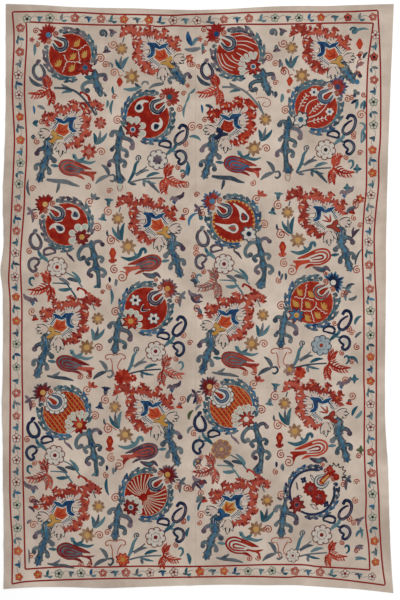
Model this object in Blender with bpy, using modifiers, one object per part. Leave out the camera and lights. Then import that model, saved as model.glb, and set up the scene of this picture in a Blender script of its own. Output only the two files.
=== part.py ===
"""Suzani: an embroidered cotton hanging or cover, laid out flat.

Two long cotton panels are sewn together down the middle. Their outer edges are turned under in a narrow hem,
and the needlework has pulled the plain margins into small puckers and bowed the four edges.
Units are metres, +Z is up, and the origin is on the floor under the middle of the cloth.
"""

from collections import namedtuple

import bpy
import math

MM = 0.001

# The cloth
CLOTH_THICKNESS = 1.5 * MM  # cotton with its couched silk
HEM_THICKNESS = 2.3 * MM
HEM_WIDTH = 12 * MM
HEM_STEP = 4 * MM  # the slope from the hem down to the single cloth
SEAM_X = -8 * MM
SEAM_GAP = 0.3 * MM
ROW_SPACING = 14 * MM
COTTON = (0.66, 0.58, 0.49, 1.0)
COTTON_ROUGHNESS = 0.9

# How far in from the outer edge each lengthwise line of the net lies, past the hem
MARGIN_LINES = (0.028, 0.045, 0.070, 0.110)
FIELD_COLUMNS = 4

# The side edges, from the top corner to the bottom one, in mm from the middle of the cloth
SideStation = namedtuple("SideStation", "y left right")
SIDE_EDGES = (
    SideStation(1178, -766, 786),
    SideStation(980, -766, 778),
    SideStation(780, -766, 770),
    SideStation(590, -770, 763),
    SideStation(400, -778, 758),
    SideStation(210, -775, 754),
    SideStation(110, -786, 754),
    SideStation(10, -778, 753),
    SideStation(-270, -778, 750),
    SideStation(-460, -782, 750),
    SideStation(-560, -778, 755),
    SideStation(-660, -778, 762),
    SideStation(-850, -775, 767),
    SideStation(-1040, -774, 775),
    SideStation(-1178, -776, 786),
)

# The ends, from the left corner to the right one
EndStation = namedtuple("EndStation", "x bottom top")
END_EDGES = (
    EndStation(-786, -1162, 1178),
    EndStation(-640, -1154, 1174),
    EndStation(-510, -1154, 1166),
    EndStation(-380, -1158, 1162),
    EndStation(-250, -1154, 1160),
    EndStation(-130, -1150, 1156),
    EndStation(0, -1146, 1154),
    EndStation(130, -1144, 1158),
    EndStation(260, -1146, 1166),
    EndStation(390, -1146, 1170),
    EndStation(520, -1154, 1170),
    EndStation(640, -1162, 1174),
    EndStation(786, -1178, 1178),
)

# Puckers that run in from the side edges: y at the edge, height, half width along the edge, and length inwards
Pucker = namedtuple("Pucker", "y height half_width reach")
LEFT_PUCKERS = (
    Pucker(1040, 2.0, 30, 55),
    Pucker(862, 3.0, 34, 62),
    Pucker(722, 2.2, 30, 50),
    Pucker(594, 3.2, 38, 60),
    Pucker(446, 2.0, 28, 48),
    Pucker(342, 2.6, 30, 55),
    Pucker(262, 2.0, 26, 46),
    Pucker(110, 4.0, 52, 66),
    Pucker(-46, 2.6, 32, 55),
    Pucker(-234, 2.2, 36, 52),
    Pucker(-406, 3.0, 34, 60),
    Pucker(-566, 2.2, 30, 50),
    Pucker(-760, 2.4, 36, 55),
    Pucker(-985, 3.0, 32, 60),
)
RIGHT_PUCKERS = (
    Pucker(1010, 2.4, 36, 58),
    Pucker(790, 3.0, 34, 60),
    Pucker(554, 2.4, 38, 55),
    Pucker(330, 3.0, 30, 60),
    Pucker(166, 2.4, 28, 52),
    Pucker(86, 2.0, 24, 46),
    Pucker(-66, 2.6, 34, 56),
    Pucker(-206, 2.2, 30, 50),
    Pucker(-386, 3.0, 34, 62),
    Pucker(-498, 3.4, 30, 64),
    Pucker(-570, 3.0, 26, 60),
    Pucker(-632, 3.6, 24, 66),
    Pucker(-684, 3.2, 22, 60),
    Pucker(-734, 3.8, 24, 66),
    Pucker(-786, 3.2, 22, 60),
    Pucker(-838, 3.6, 24, 64),
    Pucker(-890, 3.0, 22, 56),
    Pucker(-954, 3.4, 28, 62),
    Pucker(-1070, 3.0, 34, 60),
)

# Soft creases that were folded in across the field, as ridges between two points
Crease = namedtuple("Crease", "x0 y0 x1 y1 height half_width")
CREASES = (
    Crease(612, -690, 668, -752, 3.2, 26),
    Crease(606, -712, 640, -640, 2.4, 24),
    Crease(560, -492, 660, -470, 2.0, 28),
    Crease(-30, -1150, -34, -1080, 2.6, 26),
)


def curve_through(stations, at, key, value):
    """A smooth curve through a table's stations, read at one place (a Catmull-Rom spline)."""
    rows = sorted(stations, key=key)
    places = [key(row) for row in rows]
    at = min(max(at, places[0]), places[-1])
    i = 0
    while i < len(rows) - 2 and at > places[i + 1]:
        i += 1
    before, after = max(i - 1, 0), min(i + 2, len(rows) - 1)
    span = places[i + 1] - places[i]
    t = (at - places[i]) / span
    low, high = value(rows[i]), value(rows[i + 1])
    slope_low = (high - value(rows[before])) / (places[i + 1] - places[before]) * span
    slope_high = (value(rows[after]) - low) / (places[after] - places[i]) * span
    return (
        (2 * t**3 - 3 * t**2 + 1) * low
        + (t**3 - 2 * t**2 + t) * slope_low
        + (3 * t**2 - 2 * t**3) * high
        + (t**3 - t**2) * slope_high
    )


def side_x(y, side):
    """The x of the left or right edge at a height y, both in metres."""
    return MM * curve_through(SIDE_EDGES, y / MM, lambda s: s.y, lambda s: getattr(s, side))


def end_y(x, end):
    """The y of the bottom or top edge at x, both in metres."""
    return MM * curve_through(END_EDGES, x / MM, lambda s: s.x, lambda s: getattr(s, end))


def soft_bump(distance, reach):
    """1 at the middle of a fold, falling smoothly to nothing at its reach."""
    if abs(distance) >= reach:
        return 0.0
    return 0.5 + 0.5 * math.cos(math.pi * distance / reach)


def pucker_lift(x, y):
    """How far the puckered side margins stand off the floor at a point."""
    lift = 0.0
    for side, puckers in (("left", LEFT_PUCKERS), ("right", RIGHT_PUCKERS)):
        inwards = abs(x - side_x(y, side))
        for fold in puckers:
            across = soft_bump(y - fold.y * MM, fold.half_width * MM)
            lift = max(lift, fold.height * MM * across * soft_bump(inwards, fold.reach * MM))
    return lift


def crease_lift(x, y):
    """How far the creases of the field stand off the floor at a point."""
    lift = 0.0
    for fold in CREASES:
        x0, y0, x1, y1 = (MM * place for place in (fold.x0, fold.y0, fold.x1, fold.y1))
        run_x, run_y = x1 - x0, y1 - y0
        length = math.hypot(run_x, run_y)
        along = ((x - x0) * run_x + (y - y0) * run_y) / length
        off = ((y - y0) * run_x - (x - x0) * run_y) / length
        past_end = max(-along, along - length, 0.0)
        reach = fold.half_width * MM
        lift = max(lift, fold.height * MM * soft_bump(off, reach) * soft_bump(past_end, reach))
    return lift


def net_lines(length, from_both_ends):
    """Distances along one direction of the net: close at the hem, then even steps over the rest."""
    hem = [0.0, HEM_WIDTH, HEM_WIDTH + HEM_STEP]
    if from_both_ends:
        inner = length - 2 * hem[-1]
        steps = round(inner / ROW_SPACING)
        even = [hem[-1] + inner * k / steps for k in range(1, steps)]
        return hem + even + [length - d for d in reversed(hem)]
    near = hem + list(MARGIN_LINES)
    inner = length - near[-1]
    even = [near[-1] + inner * k / FIELD_COLUMNS for k in range(1, FIELD_COLUMNS + 1)]
    return near + even


def cotton_material():
    material = bpy.data.materials.new("ecru cotton")
    material.use_nodes = True
    shader = material.node_tree.nodes["Principled BSDF"]
    shader.inputs["Base Color"].default_value = COTTON
    shader.inputs["Roughness"].default_value = COTTON_ROUGHNESS
    shader.inputs["Metallic"].default_value = 0.0
    return material


def make_panel(name, side, material, collection):
    """One long panel: a net from its outer edge to the seam, shaped by the tables and given its thickness."""
    seam = SEAM_X + (-0.5 if side == "left" else 0.5) * SEAM_GAP
    width = abs(side_x(0.0, side) - seam)
    length = end_y(0.0, "top") - end_y(0.0, "bottom")
    across = [d / width for d in net_lines(width, from_both_ends=False)]
    down = [d / length for d in net_lines(length, from_both_ends=True)]

    bpy.ops.mesh.primitive_grid_add(
        x_subdivisions=len(across) - 1, y_subdivisions=len(down) - 1, size=1.0
    )
    panel = bpy.context.object
    panel.name = name
    panel.data.name = name
    thick = panel.vertex_groups.new(name="hem")
    single = CLOTH_THICKNESS / HEM_THICKNESS

    for vertex in panel.data.vertices:
        column = round((vertex.co.x + 0.5) * (len(across) - 1))
        row = round((vertex.co.y + 0.5) * (len(down) - 1))
        # The grid runs from the left to the right on both panels, and its outer edge is the hem.
        inwards = across[column] if side == "left" else across[len(across) - 1 - column]
        up = down[row]
        level = end_y(0.0, "bottom") + up * length
        x = side_x(level, side) * (1 - inwards) + seam * inwards
        y = end_y(x, "bottom") * (1 - up) + end_y(x, "top") * up
        vertex.co = (x, y, max(pucker_lift(x, y), crease_lift(x, y)))
        from_edge = min(inwards * width, up * length, (1 - up) * length)
        thick.add([vertex.index], 1.0 if from_edge < HEM_WIDTH + 0.5 * HEM_STEP else single, "REPLACE")

    panel.data.materials.append(material)
    wall = panel.modifiers.new("cloth", "SOLIDIFY")
    wall.thickness = HEM_THICKNESS
    wall.offset = 1.0
    wall.vertex_group = "hem"
    wall.use_rim = True
    for owner in panel.users_collection:
        owner.objects.unlink(panel)
    collection.objects.link(panel)
    return panel


def main():
    for old in list(bpy.data.objects):
        bpy.data.objects.remove(old)
    collection = bpy.data.collections.new("suzani")
    bpy.context.scene.collection.children.link(collection)
    cotton = cotton_material()
    make_panel("panel_left", "left", cotton, collection)
    make_panel("panel_right", "right", cotton, collection)


main()
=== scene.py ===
import bpy
import cmath
import math
import numpy as np
import random
from collections import defaultdict, namedtuple
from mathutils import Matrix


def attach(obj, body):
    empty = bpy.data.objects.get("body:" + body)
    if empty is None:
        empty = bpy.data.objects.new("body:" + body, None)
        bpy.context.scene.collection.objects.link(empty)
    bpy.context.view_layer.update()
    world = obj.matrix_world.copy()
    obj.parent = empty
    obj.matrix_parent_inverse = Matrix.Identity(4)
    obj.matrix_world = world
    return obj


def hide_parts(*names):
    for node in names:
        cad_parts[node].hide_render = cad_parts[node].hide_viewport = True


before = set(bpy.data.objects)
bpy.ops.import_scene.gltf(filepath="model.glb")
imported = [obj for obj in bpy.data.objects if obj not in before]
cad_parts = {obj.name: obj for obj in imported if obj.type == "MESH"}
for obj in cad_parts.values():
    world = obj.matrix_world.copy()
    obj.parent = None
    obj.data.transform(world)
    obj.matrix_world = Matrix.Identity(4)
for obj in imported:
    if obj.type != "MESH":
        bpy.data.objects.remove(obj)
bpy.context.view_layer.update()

MM = 0.001
CLOTH_THICKNESS = 1.5 * MM
HEM_THICKNESS = 2.3 * MM
HEM_WIDTH = 12 * MM
SEAM_X = -8 * MM
SEAM_GAP = 0.3 * MM
ROW_SPACING = 6.5 * MM
MARGIN_SPACING = 7 * MM
MARGIN = 112 * MM
FIELD_SPACING = 15 * MM
RIPPLE = 0.5 * MM
RIPPLE_ACROSS = 52  # how fast the ripple waves each way, in radians a metre
RIPPLE_ALONG = 41

# The side edges from the top down: y, left x and right x, in mm from the middle of the cloth
SIDE_EDGES = np.array((
    (1178, -766, 786), (980, -766, 778), (780, -766, 770), (590, -770, 763), (400, -778, 758),
    (210, -775, 754), (110, -786, 754), (10, -778, 753), (-270, -778, 750), (-460, -782, 750),
    (-560, -778, 755), (-660, -778, 762), (-850, -775, 767), (-1040, -774, 775), (-1178, -776, 786),
)[::-1], float)

# The ends from the left: x, bottom y and top y, in mm
END_EDGES = np.array((
    (-786, -1162, 1178), (-640, -1154, 1174), (-510, -1154, 1166), (-380, -1158, 1162),
    (-250, -1154, 1160), (-130, -1150, 1156), (0, -1146, 1154), (130, -1144, 1158),
    (260, -1146, 1166), (390, -1146, 1170), (520, -1154, 1170), (640, -1162, 1174), (786, -1178, 1178),
), float)

# Puckers that run in from the side edges: y at the edge, height, half width and length inwards, in mm
PUCKERS = {
    "left": (
        (1040, 2.0, 30, 55), (862, 3.0, 34, 62), (722, 2.2, 30, 50), (594, 3.2, 38, 60), (446, 2.0, 28, 48),
        (342, 2.6, 30, 55), (262, 2.0, 26, 46), (110, 4.0, 52, 66), (-46, 2.6, 32, 55), (-234, 2.2, 36, 52),
        (-406, 3.0, 34, 60), (-566, 2.2, 30, 50), (-760, 2.4, 36, 55), (-985, 3.0, 32, 60),
    ),
    "right": (
        (1010, 2.4, 36, 58), (790, 3.0, 34, 60), (554, 2.4, 38, 55), (330, 3.0, 30, 60), (166, 2.4, 28, 52),
        (86, 2.0, 24, 46), (-66, 2.6, 34, 56), (-206, 2.2, 30, 50), (-386, 3.0, 34, 62), (-498, 3.4, 30, 64),
        (-570, 3.0, 26, 60), (-632, 3.6, 24, 66), (-684, 3.2, 22, 60), (-734, 3.8, 24, 66),
        (-786, 3.2, 22, 60), (-838, 3.6, 24, 64), (-890, 3.0, 22, 56), (-954, 3.4, 28, 62),
        (-1070, 3.0, 34, 60),
    ),
}

# Soft creases across the field: their two ends, height and half width, in mm
CREASES = (
    (612-690j, 668-752j, 3.2, 26), (606-712j, 640-640j, 2.4, 24),
    (560-492j, 660-470j, 2.0, 28), (-30-1150j, -34-1080j, 2.6, 26),
)


def edge_curve(table, column, at):
    """A smooth curve through one column of a table of edge stations, read at many places, in metres."""
    places, values = table[:, 0], table[:, column]
    at = np.clip(at / MM, places[0], places[-1])
    i = np.clip(np.searchsorted(places, at) - 1, 0, len(places) - 2)
    before, after = np.maximum(i - 1, 0), np.minimum(i + 2, len(places) - 1)
    span = places[i + 1] - places[i]
    t = (at - places[i]) / span
    slope_low = (values[i + 1] - values[before]) / (places[i + 1] - places[before]) * span
    slope_high = (values[after] - values[i]) / (places[after] - places[i]) * span
    return MM * (
        (2 * t**3 - 3 * t**2 + 1) * values[i] + (t**3 - 2 * t**2 + t) * slope_low
        + (3 * t**2 - 2 * t**3) * values[i + 1] + (t**3 - t**2) * slope_high
    )


def soft_bump(distance, reach):
    """1 at the middle of a fold, falling smoothly to nothing at its reach."""
    return np.where(np.abs(distance) < reach, 0.5 + 0.5 * np.cos(np.pi * distance / reach), 0.0)


def cloth_lift(x, y):
    """How far the underside of the cloth stands off the floor: puckers, creases and a faint ripple."""
    lift = np.zeros_like(x)
    for column, side in ((1, "left"), (2, "right")):
        inwards = np.abs(x - edge_curve(SIDE_EDGES, column, y))
        for place, height, half_width, reach in PUCKERS[side]:
            across = soft_bump(y - place * MM, half_width * MM)
            lift = np.maximum(lift, height * MM * across * soft_bump(inwards, reach * MM))
    for start, end, height, half_width in CREASES:
        run = (end - start) * MM
        place = ((x + 1j * y) - start * MM) * run.conjugate() / abs(run)
        past_end = np.maximum(np.maximum(-place.real, place.real - abs(run)), 0.0)
        reach = half_width * MM
        lift = np.maximum(lift, height * MM * soft_bump(place.imag, reach) * soft_bump(past_end, reach))
    ripple = np.sin(RIPPLE_ACROSS * x + 3 * np.sin(7 * y)) * np.sin(RIPPLE_ALONG * y + 2 * np.sin(9 * x)) + 1
    return lift + 0.5 * RIPPLE * ripple


def mid_edge(table, column):
    """Where an edge crosses the middle of the cloth, in metres."""
    return edge_curve(table, column, np.array([0.0]))[0]


def net_faces(rows, columns):
    """The four corners of every mesh of a net, whose points are counted row by row."""
    corner = (np.arange(rows - 1)[:, None] * columns + np.arange(columns - 1)).reshape(-1, 1)
    return corner + np.array((0, 1, columns + 1, columns))


def make_mesh(name, points, faces, material):
    """A smooth mesh object at the origin, with its place in its points."""
    mesh = bpy.data.meshes.new(name)
    mesh.from_pydata(points.tolist(), [], faces.tolist())
    mesh.shade_smooth()
    mesh.materials.append(material)
    made = bpy.data.objects.new(name, mesh)
    bpy.context.scene.collection.objects.link(made)
    return made


def new_group(name, outputs):
    """An empty shader node group with these outputs, each a name and a kind of value."""
    group = bpy.data.node_groups.new(name, "ShaderNodeTree")
    for label, kind in outputs:
        group.interface.new_socket(label, in_out="OUTPUT", socket_type=kind)
    return group, group.nodes.new("NodeGroupOutput")


def add_node(tree, kind, **settings):
    """A node with its properties set, and its input values where the key is a socket's name."""
    made = tree.nodes.new(kind)
    for key, value in settings.items():
        if hasattr(made, key):
            setattr(made, key, value)
        else:
            made.inputs[key.replace("_", " ")].default_value = value
    return made


def join(tree, source, output, target, socket):
    """A thread from one node's output to another's input."""
    tree.links.new(source.outputs[output], target.inputs[socket])


PIGMENT = 0.78  # the light that dyed thread gives back, against its colour on a screen


def display_colour(red, green, blue):
    """A colour as a screen shows it, 0 to 255, as the linear value that a shader takes."""
    linear = []
    for value in (red, green, blue):
        share = value / 255
        linear.append(share / 12.92 if share <= 0.04045 else ((share + 0.055) / 1.055) ** 2.4)
    return (*(value * PIGMENT for value in linear), 1.0)


def thread_material(name, pattern, roughness, shine, relief, depth):
    """A material with the relief of a pattern of threads, and its two nodes that still need a colour."""
    material = bpy.data.materials.new(name)
    material.use_nodes = True
    tree = material.node_tree
    shader = tree.nodes["Principled BSDF"]
    shader.inputs["Roughness"].default_value = roughness
    shader.inputs["Specular IOR Level"].default_value = shine
    worked = add_node(tree, "ShaderNodeGroup", node_tree=pattern)
    bump = add_node(tree, "ShaderNodeBump", Strength=relief, Distance=depth)
    join(tree, worked, "Height", bump, "Height")
    join(tree, bump, "Normal", shader, "Normal")
    return material, worked, shader


# Hand-woven cotton: uneven yarns both ways, soft stains from long use, and side margins painted a little
# darker, a painted shade that leaves the field lighter as if more brightly lit
MARGIN_START = 0.60
MARGIN_END = 0.76
# How much painted shade darkens the side margins against the more brightly lit field
PAINTED_MARGIN_SHADE = -0.06
YARN_ACROSS = 900.0  # noise drawn out into yarns, which is finer across each than along it
YARN_ALONG = 90.0
weave, weave_out = new_group("hand woven", (("Stain and painted shade", "NodeSocketFloat"), ("Height", "NodeSocketFloat")))
place = add_node(weave, "ShaderNodeTexCoord")
stain = add_node(weave, "ShaderNodeTexNoise", Scale=5.0, Detail=5.0, Roughness=0.62)
join(weave, place, "Object", stain, "Vector")
sides = add_node(weave, "ShaderNodeSeparateXYZ")
join(weave, place, "Object", sides, "Vector")
outwards = add_node(weave, "ShaderNodeMath", operation="ABSOLUTE")
join(weave, sides, "X", outwards, 0)
margin_painted_shade = add_node(weave, "ShaderNodeMapRange", From_Min=MARGIN_START, From_Max=MARGIN_END,
                  To_Max=PAINTED_MARGIN_SHADE)
join(weave, outwards, "Value", margin_painted_shade, "Value")
# The random stains with the painted shade of the side margins added to them
stains_and_painted_shade = add_node(weave, "ShaderNodeMath", operation="ADD")
join(weave, stain, "Fac", stains_and_painted_shade, 0)
join(weave, margin_painted_shade, "Result", stains_and_painted_shade, 1)
join(weave, stains_and_painted_shade, "Value", weave_out, "Stain and painted shade")
both = add_node(weave, "ShaderNodeMath", operation="ADD")
for term, stretch in enumerate(((YARN_ACROSS, YARN_ALONG, 1.0), (YARN_ALONG, YARN_ACROSS, 1.0))):
    turn = add_node(weave, "ShaderNodeMapping", Scale=stretch)
    yarn = add_node(weave, "ShaderNodeTexNoise", Scale=1.0, Detail=1.0)
    join(weave, place, "Object", turn, "Vector")
    join(weave, turn, "Vector", yarn, "Vector")
    join(weave, yarn, "Fac", both, term)
join(weave, both, "Value", weave_out, "Height")

cotton, worked, shader = thread_material("ecru cotton", weave, 0.92, 0.1, 0.35, 0.6 * MM)
tree = cotton.node_tree
# The cotton's colour runs between these two by its stains and the painted shade on its margins
ramp = add_node(tree, "ShaderNodeValToRGB")
for stop, share, colour in zip(ramp.color_ramp.elements, (0.32, 0.68), ((174, 158, 144), (210, 194, 179))):
    stop.position = share
    stop.color = display_colour(*colour)
join(tree, worked, "Stain and painted shade", ramp, "Fac")
join(tree, ramp, "Color", shader, "Base Color")

for side, column, sign in (("left", 1, -1), ("right", 2, 1)):
    seam = SEAM_X + sign * 0.5 * SEAM_GAP
    low_y = mid_edge(END_EDGES, 1)
    length = mid_edge(END_EDGES, 2) - low_y
    width = abs(mid_edge(SIDE_EDGES, column) - seam)
    inwards = np.concatenate((
        np.linspace(0, MARGIN, round(MARGIN / MARGIN_SPACING), endpoint=False),
        np.linspace(MARGIN, width, round((width - MARGIN) / FIELD_SPACING) + 1),
    )) / width
    if side == "right":
        inwards = inwards[::-1]
    up = np.linspace(0, 1, round(length / ROW_SPACING) + 1)[:, None]
    x = edge_curve(SIDE_EDGES, column, low_y + up * length) * (1 - inwards) + seam * inwards
    y = edge_curve(END_EDGES, 1, x) * (1 - up) + edge_curve(END_EDGES, 2, x) * up
    points = np.stack((x, y, cloth_lift(x, y)), axis=-1).reshape(-1, 3)
    panel = make_mesh(f"cloth_{side}", points, net_faces(*x.shape), cotton)
    from_edge = np.minimum(inwards * width, np.minimum(up, 1 - up) * length).ravel()
    hem = panel.vertex_groups.new(name="hem")
    hem.add(np.nonzero(from_edge > HEM_WIDTH)[0].tolist(), CLOTH_THICKNESS / HEM_THICKNESS, "REPLACE")
    hem.add(np.nonzero(from_edge <= HEM_WIDTH)[0].tolist(), 1.0, "REPLACE")
    wall = panel.modifiers.new("thickness", "SOLIDIFY")
    wall.thickness = HEM_THICKNESS
    wall.offset = 1.0
    wall.vertex_group = "hem"
    fold = panel.modifiers.new("sharp edge", "EDGE_SPLIT")
    fold.split_angle = math.radians(50)
    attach(panel, "root")
    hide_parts(f"panel_{side}")

# How the embroidery is laid
# Silk floss is laid side by side over each shape and held down with small slanting stitches of the same silk.
# Every shape is a low rounded pad on the cloth, and a shape worked over another stands a little higher.
SQUARE = 4 * MM  # the drawing's squares, 400 across by 600 down, counted from the upper left
LEVEL = 0.25 * MM  # how much higher each shape stands that is worked over another
RISE = 0.35 * MM  # the height of a pad, and how deep its edge is sunk
DIP = 0.3 * MM
STEP = 1.1  # the length of a piece of a stroke, in squares, as are the next three
WIDE = 0.9
THIN = 0.08
SMALL_BALL = 2.5
PINHOLE = 0.002  # what a patch leaves open in its middle, as a share of its size
SHOULDER = 0.9  # how far out from its middle a patch is laid before it dips
WINDING = 0.86  # how far in a curl winds, as a share of its radius

worked_silk = defaultdict(lambda: {"points": [], "faces": [], "uv": [], "tone": [], "count": 0})
hand = random.Random(41)


def at(across, down):
    """A place on the drawing, in squares from the middle of the cloth with up positive."""
    return complex(across - 197.5, 298.5 - down)


def polar(reach, degrees):
    """A step of this length in this direction."""
    return cmath.rect(reach, math.radians(degrees))


def lay(silk, grid, height, along, tone):
    """Puts one rounded pad, a net of places in squares with its heights, among those of its silk."""
    piece = worked_silk[silk]
    piece["points"].append(np.stack((grid.real * SQUARE, grid.imag * SQUARE, height), -1).reshape(-1, 3))
    piece["faces"].append(net_faces(*grid.shape)[:, (0, 3, 2, 1)] + piece["count"])
    piece["uv"].append(along.reshape(-1))
    piece["tone"].append(np.full(grid.size, tone, np.float32))
    piece["count"] += grid.size


class Hoop:
    """A stretch of the drawing: its middle, whether it is turned over left to right, its turn and size."""

    def __init__(self, centre, mirrored=False, turn=0.0, size=1.0):
        self.centre, self.mirrored = centre, mirrored
        self.turn = polar(size, turn)
        self.size = size

    def place(self, points):
        points = np.asarray(points, complex) * self.turn
        return self.centre + (-points.conjugate() if self.mirrored else points)

    def inside(self, centre, turn=0.0, size=1.0):
        """A smaller stretch within this one."""
        made = Hoop(self.place(centre).item(), self.mirrored)
        made.turn = self.turn * polar(size, turn)
        made.size = self.size * size
        return made

    def line(self, silk, points, widths, level=0, tone=None, loose=0.12):
        """A stroke along a smooth line through these points, as wide at each as widths says."""
        points = self.place(points)
        wobble = [complex(hand.gauss(0, loose), hand.gauss(0, loose)) for _ in points]
        if points[0] == points[-1]:
            wobble[-1] = wobble[0]
        points = points + np.array(wobble)
        widths = np.broadcast_to(np.asarray(widths, float) * self.size, points.shape)
        span = np.abs(np.diff(points)).sum()
        pieces = max(len(points) - 1, 1)
        steps = max(2, math.ceil(span / pieces / STEP))
        if len(points) == 2:
            steps = max(steps, 4)
        t = np.linspace(0, pieces, pieces * steps + 1)
        i = np.minimum(t.astype(int), pieces - 1)
        f = t - i
        before = points[np.maximum(i - 1, 0)]
        after = points[np.minimum(i + 2, pieces)]
        if points[0] == points[-1]:
            before = np.where(i == 0, points[-2], before)
            after = np.where(i == pieces - 1, points[1], after)
        a, b = points[i], points[i + 1]
        spine = 0.5 * (
            2 * a + (b - before) * f + (2 * before - 5 * a + 4 * b - after) * f**2
            + (3 * a - before - 3 * b + after) * f**3
        )
        half = 0.5 * np.maximum(widths[i] * (1 - f) + widths[i + 1] * f, THIN)
        along = np.gradient(spine)
        left = 1j * along / np.maximum(np.abs(along), 1e-6)
        wide = half.max() > WIDE
        across = np.array((-1, -0.8, 0, 0.8, 1) if wide else (-1, -0.5, 0.5, 1))
        arch = np.array((0, 0.85, 1, 0.85, 0) if wide else (0, 1, 1, 0))
        grid = spine[:, None] + left[:, None] * half[:, None] * across
        rise = RISE * np.minimum(half[:, None] / 0.5, 1.0) * arch
        height = level * LEVEL + rise - DIP * (arch == 0)
        height[0] = height[-1] = level * LEVEL - DIP
        travelled = np.concatenate(([0.0], np.cumsum(np.abs(np.diff(spine)))))
        uv = half[:, None] * across + 1j * travelled[:, None]
        lay(silk, grid, height, uv, hand.random() if tone is None else tone)

    def leaf(self, silk, base, tip, width, bow=0.12, level=0, tone=None):
        """A pointed leaf or petal from its base to its tip, bowed a little to the left."""
        run = tip - base
        side = 1j * run * bow
        points = [base + run * t + side * 4 * t * (1 - t) for t in (0, 0.25, 0.5, 0.75, 1)]
        self.line(silk, points, [width * w for w in (0.35, 0.95, 1.1, 0.8, 0.12)], level, tone, 0.08)

    def patch(self, silk, centre, outline, level=0, tone=None, rings=4):
        """A filled shape round a centre, from its outline's points in turn."""
        middle = self.place(centre)
        edge = self.place(outline)
        if ((np.roll(edge, -1) - edge) * (edge - middle).conjugate()).imag.sum() < 0:
            edge = edge[::-1]
        edge = np.append(edge, edge[0])
        share = np.append(np.linspace(PINHOLE, SHOULDER, rings), 1.0)[::-1]
        grid = middle + share[:, None] * (edge - middle)
        height = level * LEVEL + RISE * np.where(share < 1, np.minimum(1.0, (1.15 - share) * 3), 0)
        height = np.broadcast_to((height - DIP * (share == 1))[:, None], grid.shape)
        lay(silk, grid, height, grid, hand.random() if tone is None else tone)

    def ball(self, silk, centre, radius, level=0, tone=None):
        """A small round spot."""
        turns, rings = (9, 2) if radius < SMALL_BALL else (14, 3)
        outline = [centre + cmath.rect(radius, math.tau * k / turns) for k in range(turns)]
        self.patch(silk, centre, outline, level, tone, rings)

    def ring(self, silk, centre, radius, width, start=0, end=360, level=0, tone=None):
        """Part of a round line, from one angle to another."""
        count = max(4, math.ceil(abs(end - start) * radius / 90))
        points = [centre + polar(radius, start + (end - start) * k / count) for k in range(count + 1)]
        self.line(silk, points, width, level, tone, 0.05)

    def curl(self, centre, radius, start=0, turns=1.5, width=1.4, silk="curl", level=0, tail=None):
        """A spiral that winds in from its start angle, to the left where turns is positive."""
        count = max(8, math.ceil(abs(turns) * 9))
        points = [] if tail is None else [tail]
        for k in range(count + 1):
            share = k / count
            points.append(centre + polar(radius * (1 - WINDING * share**0.9), start + 360 * turns * share))
        self.line(silk, points, width, level, None, 0.05)
        self.ball(silk, points[-1], 0.6 * width, level + 1)

    def petals(self, silk, centre, angles, inner, outer, width, level=0, tone=None):
        """Pointed petals round a centre, at these angles in degrees."""
        for angle in angles:
            way = polar(1, angle + hand.gauss(0, 2))
            long = outer * (1 + hand.gauss(0, 0.04))
            self.leaf(silk, centre + way * inner, centre + way * long, width, 0.0, level, tone)


# Border lines
# Two thin rows of dark red chain stitch frame the flower band on all four sides.
# They follow the drawn-in edges, so neither is quite straight.
CHAIN_STITCH = 1.8
whole = Hoop(0j)
OUTER_FRAME = (
    [(46, 12), (62, 12.5), (78, 12.5), (110, 14), (142, 14.5), (158, 15), (174, 15.5), (190, 14.5),
     (222, 13.5), (254, 12.5), (286, 12), (326, 12), (350, 11.5), (377.5, 10.5)],
    [(380, 50), (380.5, 88), (380.5, 136), (378.5, 160), (378.5, 184), (376, 208), (374.5, 232), (374.5, 256),
     (375, 280), (376.5, 304), (376.5, 376), (376.5, 448), (377, 472), (378.5, 496), (379, 520), (380.5, 544),
     (382.5, 568), (385, 585)],
    [(366, 582.5), (334, 578.5), (302, 576.5), (286, 577), (254, 576.5), (222, 576.5), (174, 577.5),
     (142, 578.5), (126, 578.5), (78, 579.5), (30, 581), (12, 584)],
    [(12.5, 544), (11, 520), (10, 496), (10, 448), (10, 400), (10.5, 352), (10.5, 304), (8.5, 280), (10, 256),
     (12, 208), (14, 160), (14.5, 136), (12.5, 88), (14, 40), (12.5, 12)],
)
INNER_FRAME = (
    [(50, 23), (78, 24.5), (110, 25), (142, 25), (158, 26.5), (174, 25.5), (190, 26.5), (214, 25.5),
     (238, 24.5), (270, 24.5), (310, 23.5), (350, 23), (373, 23)],
    [(371, 40), (368, 64), (366.5, 100), (366.5, 136), (366.5, 184), (364.5, 208), (362.5, 232), (362.5, 256),
     (363.5, 290), (364, 328), (364, 376), (364.5, 400), (364.5, 448), (366, 496), (366, 520), (368.5, 544),
     (370, 570)],
    [(350, 568.5), (318, 566.5), (302, 564.5), (270, 564.5), (254, 565), (214, 566), (174, 566.5), (142, 566),
     (94, 567), (78, 566), (45, 567.5), (25, 569)],
    [(24.5, 545), (23.5, 500), (23, 470), (22.5, 400), (22.5, 376), (22, 340), (22, 304), (21, 280),
     (20.5, 256), (24, 208), (25, 184), (26.5, 160), (26.5, 136), (24.5, 88), (26.5, 40), (26, 21.5)],
)
for frame_sides in (OUTER_FRAME, INNER_FRAME):
    start = frame_sides[-1][-1]
    for run in frame_sides:
        places = [at(*start), *(at(*place) for place in run)]
        whole.line("frame_red", places, CHAIN_STITCH, tone=0.2, loose=0.15)
        start = run[-1]

# Border flowers
# A single row of small five-petalled flowers runs round between the lines, in pairs of one colour.
# Between each two, a waving slate stem carries a few small leaves in teal, slate and blue.
def around(count, start=0):
    """Evenly spread angles."""
    return [start + 360 * k / count for k in range(count)]


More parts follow.
